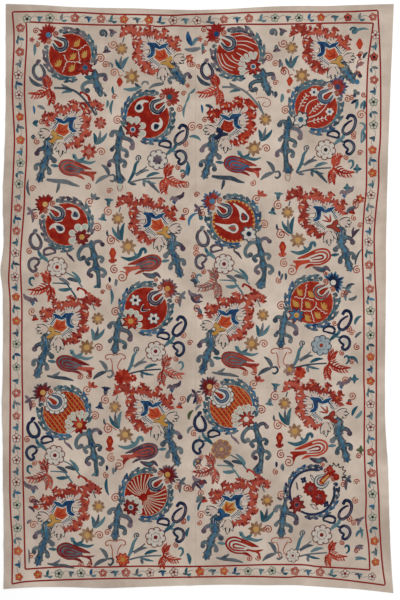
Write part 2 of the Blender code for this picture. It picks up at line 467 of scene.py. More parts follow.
BorderFlower = namedtuple("BorderFlower", "petals edge heart")
BORDER_FLOWERS = {
    "pink": BorderFlower("pink", "brick", "cream"),
    "red": BorderFlower("brick", "border_red", "black"),
    "white": BorderFlower("white", "border_red", "border_red"),
    "orange": BorderFlower("orange", "brick", "yellow"),
    "green": BorderFlower("celadon", "green", "black"),
}
BORDER_ROWS = (
    (1j, (
        ("green", (27, 19), (50, 18)), ("pink", (75, 18), (101, 19)), ("orange", (124, 19.5), (149, 20)),
        ("white", (173, 20.5), (197, 20.5)), ("pink", (224, 19.5), (249, 18.5)),
        ("green", (275, 18), (299, 18)), ("orange", (321, 17.5)), ("red", (348, 17.5)), ("pink", (373, 17)),
    )),
    (-1, (
        ("pink", (20.5, 28), (20, 52)), ("white", (18.5, 75), (19, 95)), ("orange", (20, 117), (20.5, 140)),
        ("green", (20.5, 163), (19, 184)), ("pink", (18, 208), (16.5, 231)),
        ("white", (15.5, 253), (15, 277)), ("orange", (16, 297), (16.5, 321)),
        ("green", (16.5, 344), (16.5, 367)), ("pink", (16.5, 393), (16.5, 416)),
        ("white", (16.5, 438), (16.5, 460), (16.5, 482)), ("green", (17, 505), (17.5, 528)),
        ("orange", (18, 551), (19, 577)),
    )),
    (1, (
        ("white", (375.5, 35)), ("red", (374, 57)), ("pink", (374, 80)),
        ("green", (373.5, 102), (373.5, 125)), ("orange", (372.5, 150), (372.5, 173)),
        ("white", (371, 195), (369.5, 220), (368.5, 242)), ("pink", (369, 265), (370, 289)),
        ("green", (370.5, 311), (370.5, 335)), ("orange", (370.5, 357), (370.5, 381)),
        ("white", (370.5, 404), (370.5, 427)), ("pink", (371, 452), (371.5, 473)),
        ("green", (372.5, 494), (372.5, 517)), ("orange", (374.5, 541), (375.5, 562)),
    )),
    (-1j, (
        ("orange", (38, 574.5)), ("green", (59, 573.5), (81, 573)), ("pink", (103, 573), (126, 572.5)),
        ("white", (150, 572.5), (174, 572)), ("orange", (200, 571.5), (224, 571)),
        ("green", (248, 571), (272, 570.5)), ("pink", (295, 571), (320, 572)),
        ("white", (345, 573.5), (372, 576.5)),
    )),
)
for outwards, groups in BORDER_ROWS:
    flowers = [(kind, at(*place)) for kind, *places in groups for place in places]
    for k, (kind, spot) in enumerate(flowers):
        bloom = Hoop(spot, turn=hand.uniform(-15, 15), size=hand.uniform(0.93, 1.06))
        look = BORDER_FLOWERS[kind]
        for angle in around(5, 90):
            bloom.ball(look.edge, polar(2.5, angle), 2.15)
            bloom.ball(look.petals, polar(2.6, angle), 1.45, level=1)
        bloom.ball(look.heart, 0, 1.3, level=2)
        if k + 1 == len(flowers):
            continue
        onward = flowers[k + 1][1] - spot
        side = outwards if k % 2 else -outwards
        way = onward / abs(onward)
        sprig = Hoop(spot + onward / 2)
        reach = onward / 2 - way * 3.6
        sprig.line("slate", [-reach, -way * 3.4 - side * 2.6, way * 3.4 + side * 1.6, reach], 0.6, tone=0.7)
        silk = ("teal", "slate", "blue")[k % 3]
        sprig.leaf(silk, -side * 2.4 - way, side * 4.4 + way * 0.6, 3, bow=0.12)
        sprig.leaf("teal", -side * 2 - way, way * 4.6 - side * 1.6, 2.8, bow=-0.2)
        if kind in ("pink", "white", "orange"):
            sprig.leaf("slate", -side * 2.4, -way * 4.4 - side * 0.4, 2, bow=0.15)


# Pomegranates
# Each has a large red disc, cut open at one side where a horseshoe and a crown of ten petals come out of it.
# A ring of scrolling leaves holds it, and a star flower grows from its lower side.
def star_flower(hoop, silk, heart, ring):
    """Sharp petals of uneven length with a dark edge, round a small heart; the white ones are broader."""
    broad = silk == "white"
    for angle in around(7 if broad else 8, 18):
        way = polar(1, angle + hand.gauss(0, 4))
        reach = hand.uniform(7.2, 9)
        edge, wide = ("slate", 5.7) if broad else ("border_red", 4.3)
        hoop.leaf(edge, way * 0.6, way * (reach + 0.7), wide, hand.uniform(-0.06, 0.06), 5, 0)
        hoop.leaf(silk, way * 0.6, way * (reach - 0.6), 4.7 if broad else 3, hand.uniform(-0.04, 0.04), 6)
    hoop.ball(ring, 0, 2.9, 7, 0.5)
    hoop.ball(heart, 0, 2.1, 8, 0.3)


def crown_flower(hoop, silk, tips, heart):
    """The narrow pointed petals that stand out of the open side, each darker at its tip."""
    for angle in (40, 61, 82, 104, 127, 151, 175, 199, 222, 244):
        way = polar(1, angle + hand.gauss(0, 3))
        reach = hand.uniform(9.4, 12)
        hoop.leaf(tips, way * 2.5, way * reach, 3.4, 0, 3)
        hoop.leaf(silk, way * 2, way * (reach - 2), 2.5, 0, 4, 0.1)
    hoop.ball(silk, 0, 3.8, 4)
    hoop.ball(heart, 0, 2.8, 6)


HORSESHOE = [-14.8+20.6j, -10+19j, -5+17.6j, -1.4+13.5j, -1.3+8.7j, -4.8+3j, -10.3+2.2j,
             -15.8+6j, -20.4+13.2j]


def horseshoe(hoop, band, inner, core):
    """The looped band in the open side, with a small teardrop in it and two arms that end in curls."""
    middle = -9.6+10.6j
    hoop.patch("white", middle, [middle + (p - middle) * 1.08 for p in HORSESHOE + [-18.6+17.4j]], 2, 0.5, 4)
    hoop.ball("white", -13.6+20.8j, 3.8, 2, 0.6)
    hoop.ball("white", -20.8+12.9j, 3.4, 2, 0.6)
    band_run = [-13.4+17.4j, -9+16.1j, -5+14.2j, -3.6+10.4j, -5.4+6.6j, -9.8+4.9j, -13.8+7j, -17.2+11.6j]
    hoop.line(inner, band_run, [1.4, 3.2, 4.1, 4.3, 4.3, 4.2, 3.4, 1.2], 4, 0.2)
    hoop.line(band, band_run, [0.5, 1.3, 1.8, 2, 2, 1.9, 1.4, 0.5], 5, 0.7)
    teardrop = [-8.3+8.2j, -10+10.1j, -13+12.5j, -16.6+14.8j]
    hoop.line("border_red", teardrop, [3.4, 5.2, 3.4, 0.8], 5, 0)
    hoop.line(core, teardrop, [2.2, 3.8, 2.2, 0.4], 6, 0.3)
    hoop.curl(-13.6+21j, 3.4, -60, -1.35, 1.5, level=5)
    hoop.curl(-20.9+13j, 3, 20, 1.35, 1.5, level=5)


DISC_RADIUS = 21.4
STAR = 15.2-12.7j
SCROLL_RADIUS = 22.3
SCROLL_ANGLE = 14


def scroll_ring(hoop, silks):
    """The leafy ring: two arcs of curling leaves that leave the crown and the star free."""
    for start, end in ((108, -20), (166, 284)):
        way = 1 if end > start else -1
        out = -1j * way
        steps = round(abs(end - start) / SCROLL_ANGLE)
        for k in range(steps):
            angle = start + (end - start) * (k + 0.5) / steps
            here = hoop.inside(polar(SCROLL_RADIUS, angle), angle + 90 * way)
            silk = silks[(k // 2) % len(silks)]
            other = silks[(k // 2 + 1) % len(silks)]
            reach = (5.6, 4.4)[k % 2] + hand.gauss(0, 0.5)
            here.line(silk, [-3.4 + 0.3 * out, 0.4 * out, 3.4 + 0.3 * out], [1.8, 2.8, 2], 1)
            here.leaf(other, 1.2 + 0.6 * out, -2.8 + reach * out, 3.4, 0.24 * way, 1)
            here.line(silk, [-0.6 + 1.2 * out, 1.2 + (reach - 1.8) * out, 3.2 + (reach - 1) * out],
                      [3, 3.4, 2.2], 1)
            here.ball(other, 3.6 + (reach - 1.9) * out, 1.2, 2)
        begin = polar(25, start - 3 * way)
        hoop.curl(begin, 2.4, 0, 1.2, 1.5, silks[0], 2)


def drop(hoop, spine, core="navy", width=9.6):
    """A fat curved white teardrop with a lined dark core."""
    hoop.line("white", spine, [0.8, 0.34 * width, 0.74 * width, 0.98 * width, 0.7 * width], 2, 0.2)
    hoop.ball("white", spine[3], 0.5 * width, 2, 0.2)
    heart = [spine[3] + 0.6 * (spine[4] - spine[3]), spine[3], 0.5 * (spine[2] + spine[3]), spine[2]]
    hoop.line("slate", heart, [0.54 * width, 0.68 * width, 0.54 * width, 1], 4)
    hoop.line(core, heart, [0.3 * width, 0.4 * width, 0.26 * width, 0.3], 5)


def fan(hoop, spread, reach=14.2, width=7.6):
    """Round pale petals with a white edge, which spread from the star flower over the disc."""
    for index, angle in enumerate(spread):
        way = polar(1, angle)
        base = STAR + way * 3
        spot = STAR + way * (reach - width / 2)
        level = 2 + 2 * (index % 2)
        hoop.line("white", [base, spot], [2.6, width - 0.6], level, 0.3)
        hoop.ball("white", spot, width / 2, level, 0.3)
        hoop.line("celadon", [base, spot], [1.2, width - 2.4], level + 1, 0.5)
        hoop.ball("celadon", spot, width / 2 - 0.9, level + 1, 0.5)


def fill_sprigs(hoop, sprigs):
    """Cells parted by waving white lines, each with a small yellow sprig of thin fingers."""
    for index, spot in enumerate(sprigs):
        root = spot + 2 - 2.6j
        for angle in (80, 102, 122, 142, 162, 186):
            way = polar(hand.uniform(5.4, 6.8), angle + hand.gauss(0, 3))
            hoop.leaf("yellow", root, root + way, 1.7, 0.08, 3, 0.2)
        for other in sprigs[:index]:
            middle, way = (spot + other) / 2, 1j * (spot - other) / abs(spot - other)
            run = [middle + way * (0.9 * t + 0.7j * math.sin(1.5 * t)) for t in range(-12, 13)]
            run = [p for p in run if abs(p) < 20 and abs(p + 9.1 - 10.3j) > 10
                   and min(abs(p - q) for q in sprigs) > abs(p - spot) - 0.9]
            if len(run) > 2:
                hoop.line("white", run, 1, 2, 0.3)


def fill_melon(hoop):
    """White ribs that curve over the disc like those of a melon."""
    for rib in (
        (-4+17.5j, 5+18.5j, 14+15j), (-2+12.7j, 9.4+12.7j, 19.7+8.2j),
        (-1+9.3j, 7.1+8.7j, 16.3+4.1j), (-0.3+5.3j, 6+3.6j, 11.7+0.7j), (-2+1.8j, 2-1j, 6-4j),
        (-6.7-0.5j, -3-5.5j, 3-7.5j), (-13.5+0.7j, -7.8-6.2j, 1.4-10.8j),
        (-17+0.7j, -12.4-9.6j, -2-14.2j), (-20.4+0.7j, -15.8-11j, -5-17j),
    ):
        hoop.line("white", rib, [0.7, 1.4, 0.7], 2, 0.3)
    fan(hoop, (80, 101, 124, 146, 168, 190, 208), 15.6, 4.8)


def fill_drops(hoop, low):
    """Two white teardrops, the lower one along this line, and a pale fan."""
    drop(hoop, [-1.1+14.9j, 4+15.6j, 8.2+13j, 8.9+8.8j, 8.4+6j])
    drop(hoop, low)
    fan(hoop, (74, 112, 158, 202))


def fill_arcs(hoop):
    """Two long white arcs, three pale twigs and two small flowers."""
    for arc in ((11.2-10.6j, 10-0.2j, 5.5+5.5j, -3.7+8.9j),
                (11.2-11.7j, -0.3-8.3j, -7.2-2.5j, -10.6+2.6j)):
        hoop.line("white", arc, [1.4, 1.5, 1.3, 0.7], 2, 0.3)
    for base, tip in ((7.2-7.1j, -5.4+4.4j), (17.5-3.7j, 8.9+12.4j), (8.9-15.7j, -10.6-10.6j)):
        hoop.line("white", [base, (base + tip) / 2 + 1, tip], 1, 2, 0.3)
        for share in (0.3, 0.5, 0.7, 0.9):
            stem = base + (tip - base) * share
            for side in (1, -1):
                way = (tip - base) / abs(tip - base) * cmath.rect(3.6, side * 0.9)
                hoop.leaf("white", stem, stem + way, 1.4, 0.1, 2, 0.3)
    for spot, reach in ((2+14.7j, 4.8), (-13.5-4.8j, 4.2)):
        hoop.petals("white", spot, around(6), 0.5, reach, 3.1, 3, 0.3)
        hoop.ball("blue", spot, 1.5, 5)


def fill_lattice(hoop):
    """A yellow and orange lattice over the disc, with a white scalloped flower round the horseshoe."""
    for thread, turn in (("orange", 48), ("yellow", 128)):
        way = polar(1, turn)
        for k in range(-5, 6):
            offset = 3.7 * k
            half = math.sqrt(20.6**2 - offset**2)
            base = way * 1j * offset
            hoop.line(thread, [base - way * half, base + 0.6, base + way * half], 1.2, 2, 0.1)
    middle = -9.1+10.3j
    for angle in around(12, 10):
        spot = middle + polar(9.4, angle)
        if abs(spot) < 20.5:
            hoop.ball("white", spot, 2.9, 3, 0.4)
            hoop.ring("slate", spot, 2.8, 0.8, angle - 100, angle + 100, 4, 0)
    hoop.ball("white", middle, 9.6, 3, 0.4)
    hoop.ring("navy", middle, 9, 0.8, 0, 360, 4, 0)
    fan(hoop, (58, 80, 101, 122, 143, 164, 186, 208), 15.4, 5)


def fill_fans(hoop):
    """White stripes with a yellow line, in two fans from the middle of the disc to its rim."""
    base = 2.6-2.7j
    for angle in (*range(30, 122, 11), *range(160, 260, 11)):
        way = polar(1, angle)
        near = (base * way.conjugate()).real
        reach = math.sqrt(near**2 - abs(base) ** 2 + 20.2**2) - near
        bend = way * 1j * (1.2 if angle > 140 else -1.2)
        rib = [base + way * 3.5, base + way * reach * 0.55 + bend, base + way * reach]
        hoop.line("white", rib, [0.7, 1.4, 1.6], 1.5, 0.3)
        hoop.line("yellow", rib, [0.3, 0.5, 0.6], 2.5, 0.3)
    fan(hoop, (72, 98, 124, 150, 178, 206), 12.6, 6)


def fill_small_flowers(hoop):
    """Two small white flowers, a navy leaf and a pale fan."""
    for spot in (10.6+8.3j, -7.7-10.1j):
        hoop.petals("teal", spot, around(6), 0.5, 6.6, 4.2, 2, 0.2)
        hoop.petals("white", spot, around(6), 0.5, 5.9, 3.4, 3, 0.3)
        hoop.ball("navy", spot, 1.9, 5)
    hoop.line("white", [2.4+4.6j, 4.2-1.8j, -4.6-1j], [0.8, 3.4, 0.8], 2)
    hoop.line("navy", [2.6+3.4j, 3.8-1.6j, -3.2-1.4j], [0.6, 2.2, 0.6], 4, 0.2)
    fan(hoop, (62, 92, 124, 158, 204), 12.8, 6.6)


def fill_big_drops(hoop):
    """Two large white teardrops inside a yellow zigzag edge."""
    for k in range(30):
        spot = polar(19.2, 12 * k)
        hoop.leaf("yellow", spot, polar(21.8, 12 * k + 6), 2.2, 0, 2, 0.2)
    drop(hoop, [-0.7+18j, 4.5+13.5j, 8.6+8.5j, 10.6+3.4j, 10.8-1j], core="brick", width=10.4)
    drop(hoop, [-19-2.1j, -12-4.4j, -5.6-6.6j, 0-7.2j, 3.6-6.4j], core="brick", width=10.6)


def fill_open(hoop):
    """No disc, but a navy ring with two red carnations, navy sprigs and thin outlines in it."""
    for start, end in ((-30, 104), (168, 300)):
        hoop.ring("navy", 0, 22.2, 2.2, start, end, 2, 0.3)
    for spot, size in ((1.5+3.4j, 7), (-7.1-5.2j, 8)):
        hoop.petals("border_red", spot, around(9, 10), 1, size + 0.8, 4.6, 2)
        hoop.petals("vermilion", spot, around(9), 1, size, 4.2, 3, 0.1)
        hoop.petals("violet", spot, around(6, 15), 0.8, size * 0.5, 1.2, 5)
        hoop.ball("brick", spot, 1.2, 5)
    for spot in (8.4+12j, -14-12.1j):
        hoop.petals("navy", spot, around(4, 30), 0.2, 3.6, 2.8, 2)
    for base, tip in ((14+2j, 16+10j), (2-12j, -6-17j), (10-4j, 17-6j), (-2+12j, 2+17j)):
        for side in (2, -2):
            hoop.line("violet", [base, (base + tip) / 2 + side * 1j, tip], 0.8, 2)


BLUES = ("slate", "teal", "slate", "blue")
GREYS = ("slate", "violet", "slate", "teal")
Fruit = namedtuple(
    "Fruit", "across down mirrored fill crown tips heart star ring star_heart band inner leaves",
    defaults=("slate", "navy", BLUES),
)
FRUITS = (
    Fruit(70, 55, False, "sprigs", "frame_red", "frame_red", "blue", "frame_red", "teal", "blue",
          leaves=GREYS),
    Fruit(238, 54, False, "melon", "frame_red", "frame_red", "blue", "frame_red", "white", "blue",
          leaves=GREYS),
    Fruit(148, 117, True, "drops", "brick", "frame_red", "teal", "frame_red", "white", "blue"),
    Fruit(316, 107, True, "arcs", "brick", "blue", "navy", "white", "blue", "teal", inner="blue"),
    Fruit(66.7, 224.3, False, "drops_left", "vermilion", "border_red", "yellow", "border_red", "yellow",
          "yellow", leaves=GREYS),
    Fruit(233.7, 221.2, False, "big_drops", "brick", "blue", "blue", "white", "blue", "black"),
    Fruit(146, 308.5, True, "small_flowers", "brick", "violet", "yellow", "vermilion", "yellow", "yellow",
          "violet"),
    Fruit(311.7, 302.5, True, "sprigs_right", "navy", "blue", "white", "blue", "yellow", "yellow",
          "brick", "slate"),
    Fruit(64.5, 412.5, False, "lattice", "border_red", "violet", "yellow", "vermilion", "yellow", "yellow",
          inner="blue"),
    Fruit(231, 406.5, False, "lattice", "border_red", "violet", "yellow", "brick", "white", "white",
          inner="blue"),
    Fruit(146, 494.5, True, "fans", "border_red", "violet", "yellow", "border_red", "white", "teal"),
    Fruit(312, 492, True, "open", None, "black", None, "border_red", "brick", "navy", "white", "slate",
          ("navy", "slate", "blue", "slate")),
)
SPRIGS_LEFT = (7+12j, 3-1j, 14.5+1j, -11.3-7.5j, 2-12.6j)
SPRIGS_RIGHT = (12+10.8j, 0.9+8.9j, 16-0.6j, 4-1.6j, -12.3-3j, -6.1-12.2j, 4-15.1j)
LOW_DROP = [-11.4-0.6j, -13-4.6j, -11.4-8.6j, -7.4-9.8j, -4.8-9.4j]
LOW_DROP_LEFT = [-17.4-5.5j, -15-2.2j, -10.5-1.6j, -6.2-4.6j, -5.2-8.2j]
FILLS = {
    "sprigs": lambda hoop: fill_sprigs(hoop, SPRIGS_LEFT),
    "sprigs_right": lambda hoop: fill_sprigs(hoop, SPRIGS_RIGHT),
    "drops": lambda hoop: fill_drops(hoop, LOW_DROP),
    "drops_left": lambda hoop: fill_drops(hoop, LOW_DROP_LEFT),
    "melon": fill_melon, "arcs": fill_arcs, "lattice": fill_lattice,
    "fans": fill_fans, "small_flowers": fill_small_flowers, "big_drops": fill_big_drops, "open": fill_open,
}
for fruit in FRUITS:
    hoop = Hoop(at(fruit.across, fruit.down), fruit.mirrored)
    outline = [polar(DISC_RADIUS, angle) for angle in around(56)]
    if fruit.fill != "open":
        hoop.patch("green", 0, [p * 1.03 for p in outline], 0, 0.6, 3)
        hoop.patch("vermilion", 0, outline, 1, hand.uniform(0, 0.4), 9)
        for angle in around(16, 8):
            hoop.ring("orange", 0, DISC_RADIUS - 1, 0.7, angle - 7, angle + 5, 2, 0)
    FILLS[fruit.fill](hoop)
    horseshoe(hoop, fruit.band, fruit.inner, "vermilion" if fruit.fill != "open" else "orange")
    scroll_ring(hoop, fruit.leaves)
    if fruit.crown is None:
        zigzag = [polar((7.4, 10.6)[k % 2], 40 + 14 * k) for k in range(14)]
        hoop.inside(-23.5+18.4j).line(fruit.tips, zigzag, 1, 2, loose=0.3)
        hoop.line("vermilion", [-9+9.6j, -14+14.6j, -18.6+18.6j, -23.4+21.4j], [6.4, 4.6, 4.4, 2], 7, 0)
        hoop.line("yellow", [-9.6+10.2j, -14+14.6j, -17+17.4j], [3.8, 2.2, 1.4], 8, 0.2)
        hoop.curl(-17+22.6j, 4, -60, -1.3, 2.2, "vermilion", 7)
        hoop.curl(-23.8+14.6j, 3.6, 20, 1.3, 2.2, "vermilion", 7)
    else:
        crown_flower(hoop.inside(-21.5+19.9j), fruit.crown, fruit.tips, fruit.heart)
    star_flower(hoop.inside(STAR), fruit.star, fruit.star_heart, fruit.ring)

# Stems, paisleys and small flowers by each pomegranate
# A knotted blue stem hangs from the star flower.
# Outlined paisleys, a white flower, a feathery plume and leafy branches fill the ground beside it.
LARGE_KNOT = 5.2


def knot_stem(hoop, knots, hooks, tips):
    """A stem of swellings, slate outside and blue within, with side branches that end in curled knobs."""
    for index, (points, width) in enumerate(hooks):
        count = len(points)
        outer = ("slate", "violet", "slate")[index % 3]
        hoop.line(outer, points, [width * (1.15 - 0.12 * k / count) for k in range(count)])
        hoop.line("teal", points[:-1], width * 0.36, 1, 0.6)
        hoop.ball(outer, points[-1], width * 0.66, 1)
    hoop.line("slate", [p for p, _ in knots], [w * 1.08 for _, w in knots], 1, 0.2)
    for k in range(1, len(knots) - 1):
        spot, width = knots[k]
        way = knots[k + 1][0] - knots[k - 1][0]
        way = way / abs(way)
        if width > LARGE_KNOT:
            for side in (1, -1):
                tip = spot + way * 0.8 + 1j * side * way * (width * 0.5 + 1.2)
                hoop.leaf("slate", spot - way * 1.6, tip, 3, -0.2 * side, 1, 0.6)
            hoop.line("teal", [spot - way * 4, spot, spot + way * 3.6], [1.2, width * 0.54, 1], 2, 0.6)
            hoop.leaf("blue", spot - way * 2.8, spot + way * 3, width * 0.36, 0, 3)
        else:
            hoop.line("teal", [spot - way * 3, spot, spot + way * 3], [0.8, width * 0.5, 0.8], 2)
    for base, tip, width in tips:
        hoop.leaf("teal", base, tip, width, 0.12, 1)


FRUIT_KNOTS = [
    (25.1-15.6j, 1.6), (24.4-20.6j, 6.2), (26-26.4j, 5), (27.6-32.1j, 7.2), (28.6-37.2j, 4.6),
    (29.5-43.6j, 8), (31.4-48.4j, 4.4), (31.6-53.8j, 4), (32.1-59j, 4.2), (32.1-64j, 3.6),
]
KNOB_END = [(30.6-51j, 4.4), (29.6-57j, 5), (27-63.5j, 9.4), (26-68j, 4)]
FRUIT_HOOKS = [
    ([24-21.6j, 17.7-21.6j, 12.8-26.4j, 11.4-31.5j, 13.6-35.2j, 16.8-33.6j], 4),
    ([26-20.6j, 29-17.8j, 33-17.2j, 35.8-20.2j], 3.7),
    ([27-33.6j, 22.6-34.4j, 19.8-37.2j, 21.8-39.4j], 3.6),
    ([29-34j, 33.4-32.8j, 36.4-34.7j, 34.9-37j], 3.4),
    ([28-44.2j, 23.6-45.8j, 21.8-49.6j, 24.4-51.4j], 3.8),
    ([31-44.4j, 36.6-45.4j, 38.8-49.2j, 36.4-51.4j], 3.8),
]
TOP_KNOTS = [
    (24.6-14j, 1.8), (25.2-20.6j, 8.4), (26-25.6j, 5.2), (27-29.6j, 7.4), (29-34j, 7.4),
    (30.4-39j, 5.2), (30.8-42j, 2),
]
TOP_HOOKS = [
    ([25-27j, 17-27.4j, 12.6-31.4j, 14-36.2j, 17.4-35.6j], 4.2),
    ([27-21j, 31-20.2j, 35-20.2j, 35.4-24j], 4),
    ([31-37j, 34-38j, 35.5-40.4j], 2.4),
]
FACING_KNOTS = [
    (27-8.6j, 1.6), (27.2-13j, 4.6), (27.4-17.6j, 8.6), (28.8-23j, 5.6), (29.6-29j, 6.8),
    (30-34j, 4.8), (30.8-40.4j, 7.8), (30.6-46j, 5), (30.2-52j, 4.6), (29.6-57j, 5.2),
    (28-62.6j, 9.6), (28-67j, 4),
]
FACING_HOOKS = [
    ([27-17j, 31.4-14.8j, 35-15j, 36.4-17.8j], 4.2),
    ([26-20.6j, 18.6-22.6j, 15.4-26.6j, 16-30.6j], 4.4),
    ([29.6-29j, 33.4-29.6j, 36-32.6j], 3.6),
    ([29-32j, 23-33.4j, 20.6-36j, 21.4-38.6j], 3.8),
    ([31-46j, 35.4-43.6j, 39-45.4j, 38.8-48j], 3.8),
    ([30-46j, 25.4-43.8j, 22.6-46j, 23.6-48.8j], 3.8),
]
BIG_PAISLEY = [-31.2-8.2j, -35.4-11.2j, -36.4-17.7j, -32.6-23.8j, -27-23.4j, -25.4-18.2j,
               -27.8-12.4j, -30.4-9.2j]
SECOND_PAISLEY = [-27.6-36.4j, -31.4-33.8j, -36-35.4j, -38-39.4j, -37-44j, -33.4-47.2j,
                  -30.2-45.4j, -31.8-42.4j, -29-40j, -27.6-36.4j]
FIRST_PAISLEY = [-23.2-27.8j, -21.2-24.8j, -16.8-23.8j, -12.6-25.2j, -11.4-28.4j, -14.4-29.2j,
                 -17.6-30.2j, -21.4-30.6j, -23.2-27.8j]


def paisleys(hoop, band, middle, small, facing):
    """A large paisley ring and two small ones on one sprig, all dark with pale middles."""
    if facing:
        hoop.line("cream", [-31.6-23.4j, -35-17.4j, -35.8-12.6j], [6, 5.6, 2.4], 0, 0.1)
        ring = [-30.6-12.4j, -33.6-8.4j, -38-9.8j, -39.6-15.2j, -37-22.4j, -31-27.2j, -26.8-24.8j,
                -28.2-19.4j, -32.4-15.4j, -36.8-13.4j]
        hoop.line(band, ring, [3.2, 3.6, 3.4, 3.2, 3.2, 3.2, 3, 2.7, 2.4, 1.8], 1, 0.2)
        hoop.line(middle, ring[2:-2], [0.6, 1.2, 1.2, 1.2, 1.2, 0.8], 2, 0.6)
    else:
        hoop.line("white", [-33.4-11.5j, -32-16.4j, -29.8-20j], [2.6, 5.6, 4.6], 0, 0.1)
        hoop.line(band, BIG_PAISLEY, [2.4, 3.2, 3.4, 3.6, 3.6, 3.3, 3, 1.8], 1, 0.3)
        hoop.line(middle, BIG_PAISLEY[1:-1], [0.6, 1.3, 1.3, 1.3, 1.3, 0.8], 2, 0.5)
        hoop.line(middle, [-33-8.6j, -31.5-6.4j, -29.3-6.8j], [2.6, 4.2, 3.2], 2)
    if not small:
        return
    hoop.line("white", [-31-36.4j, -34-39j, -34.2-42.8j], [4.4, 6, 3.4], 0, 0.9)
    hoop.line(band, SECOND_PAISLEY, [2.8, 3, 3, 3, 3, 3.2, 2.8, 2.4, 2.6, 2.8], 1, 0.3)
    hoop.line(middle, SECOND_PAISLEY[1:6], [0.6, 1.1, 1.1, 1.1, 0.6], 2, 0.6)
    hoop.line(band, FIRST_PAISLEY, [2.6, 2.8, 2.7, 2.8, 1.8, 1.8, 2.2, 2.4, 2.6], 1, 0.3)
    hoop.leaf("teal", -23.6-34j, -28.6-24.6j, 3.6, 0.1)
    hoop.leaf("teal", -23.6-33.6j, -30-34.6j, 2.4, 0.1)
    hoop.line("teal", [-27-31.4j, -24-32.6j, -20.6-35.4j, -17.4-38.6j], [1.6, 4.4, 3.4, 1], 1)


def white_flower(hoop, petals, edge, heart):
    """A scalloped flower: eight pale petals with thin outlines round a ring of scallops and a small heart."""
    large = heart == "violet"
    for angle in around(8, 10):
        spot = polar(6.4, angle)
        hoop.ball(petals, spot, 3.6, 1, 0.4)
        hoop.ring(edge, spot, 3.6, 0.95, angle - 100, angle + 100, 2, 0.1)
    hoop.ball(petals, 0, 6.2, 1, 0.4)
    for angle in around(7, 32):
        spot = polar(3.4, angle)
        if large:
            hoop.ball(heart, spot, 1.8, 2)
        else:
            hoop.ring(edge, spot, 1.5, 0.8, angle - 80, angle + 80, 2, 0.4)
    hoop.ball(heart, 0, 3.3 if large else 2.1, 3)


def plume(hoop, silk, shade):
    """Three feathery lobes from one point, each of thin barbs on both sides of a spine."""
    for tip, bow in ((-5.6+11j, -0.1), (-18-5.6j, 0.12), (0.7-14.4j, 0.1)):
        side = 1j * tip * bow
        reach = abs(tip)
        for k in range(6):
            t = 0.12 + 0.8 * k / 5
            base = tip * t + side * 4 * t * (1 - t)
            for turn in (1, -1):
                way = tip / reach * cmath.rect(8.2 - 3.4 * t, turn * 0.66 + hand.gauss(0, 0.05))
                hoop.leaf(silk if k % 3 else shade, base, base + way, 1.6, 0.12 * turn, 1)
        spine = [tip * t + side * 4 * t * (1 - t) for t in (0, 0.25, 0.5, 0.75, 1.2)]
        hoop.line(silk, spine, [1.8, 2.3, 2.2, 1.7, 0.5], 2)


def fruit_leaves(hoop, mirrored, cup):
    """The leafy branches below the white flower, which are larger where the pomegranate faces left."""
    if not mirrored:
        hoop.line("teal", [-1.9-47.8j, 7.3-52.9j, 14.1-61j, 16.4-63.3j], [1.4, 1.8, 1.8, 1.2])
        hoop.line("teal", [-14.6-58.7j, -0.8-59.8j, 2.7-63.3j, 8.4-71.3j, 10.7-76.5j],
                  [1.2, 1.7, 1.7, 2, 1.4])
        hoop.leaf("slate", -7.7-54.1j, 3.2-60.4j, 3.6, 0.06, 1)
        hoop.leaf("teal", -8.2-65j, 5.5-63.9j, 3.6, -0.08, 1)
        hoop.leaf("slate", 0.4-54.7j, 10.7-58.1j, 3.6, 0.1, 1)
        hoop.line("teal", [5-47.2j, 9.6-51.2j, 13-56.4j, 13-59.6j], [1, 3.4, 3.4, 1], 1)
        hoop.line("violet", [0.4-25.4j, 0.6-29.6j, 4.4-33j, 8.4-38j], [1.4, 1.8, 3.2, 0.8])
        return
    base = 20.1-66j
    hoop.line("teal", [base, 14.9-56.8j, 12.1-47.6j, 8.6-43j], [2, 4, 3.4, 1.4])
    hoop.curl(9-41j, 3.4, -60, 1.3, 1.6, "slate")
    hoop.line("slate", [14.4-58j, 7-54j, 0.6-49j], 1.6)
    hoop.leaf("slate", 12.1-59.1j, -1.7-53.4j, 3.8, -0.14)
    hoop.line("slate", [base, 2.9-62j, -15.5-60.8j], [1.8, 2, 1.6])
    hoop.leaf("teal", 1.7-60.3j, -12-56.3j, 3.6, -0.1)
    hoop.leaf("slate", 4-63.7j, 2.9-70j, 3.2, 0.1)
    hoop.line("teal", [6-63j, -1-65.4j, -8-66.6j], [1.6, 3, 0.8])
    if cup:
        hoop.line("cream", [30.6-47j, 31-56j, 29-65j], [8, 5.4, 6.6], 0, 0.2)
        for points in (
            [31-47j, 36-45.6j, 40.4-47.6j, 39.6-50.8j, 36.8-50.2j],
            [30.5-47j, 26-45.4j, 21.6-46.6j, 20.6-49.8j, 23.4-50.6j],
            [35.6-49.8j, 33.8-55j, 33.6-61j, 31.6-66j], [24.4-49.8j, 27.6-55j, 28.4-60j, 24-64j],
        ):
            hoop.line("curl", points, 1.1, 1, 0.6)
        return
    hoop.line("slate", [0.6-63.7j, -5-69j, -11.5-76.3j], [3, 4, 1.2])
    hoop.leaf("slate", 19-64.9j, 10.9-67.2j, 3.2, 0.1)
    hoop.line("celadon", [28-66j, 28.2-70j, 28-74j], [5.4, 5, 1.4], 0, 0.6)
    hoop.line("curl", [25.4-68j, 25.8-71.4j, 27.8-74.6j], 0.8, 1)
    hoop.line("curl", [30.8-68j, 30.6-71.4j, 28.6-74.6j], 0.8, 1)


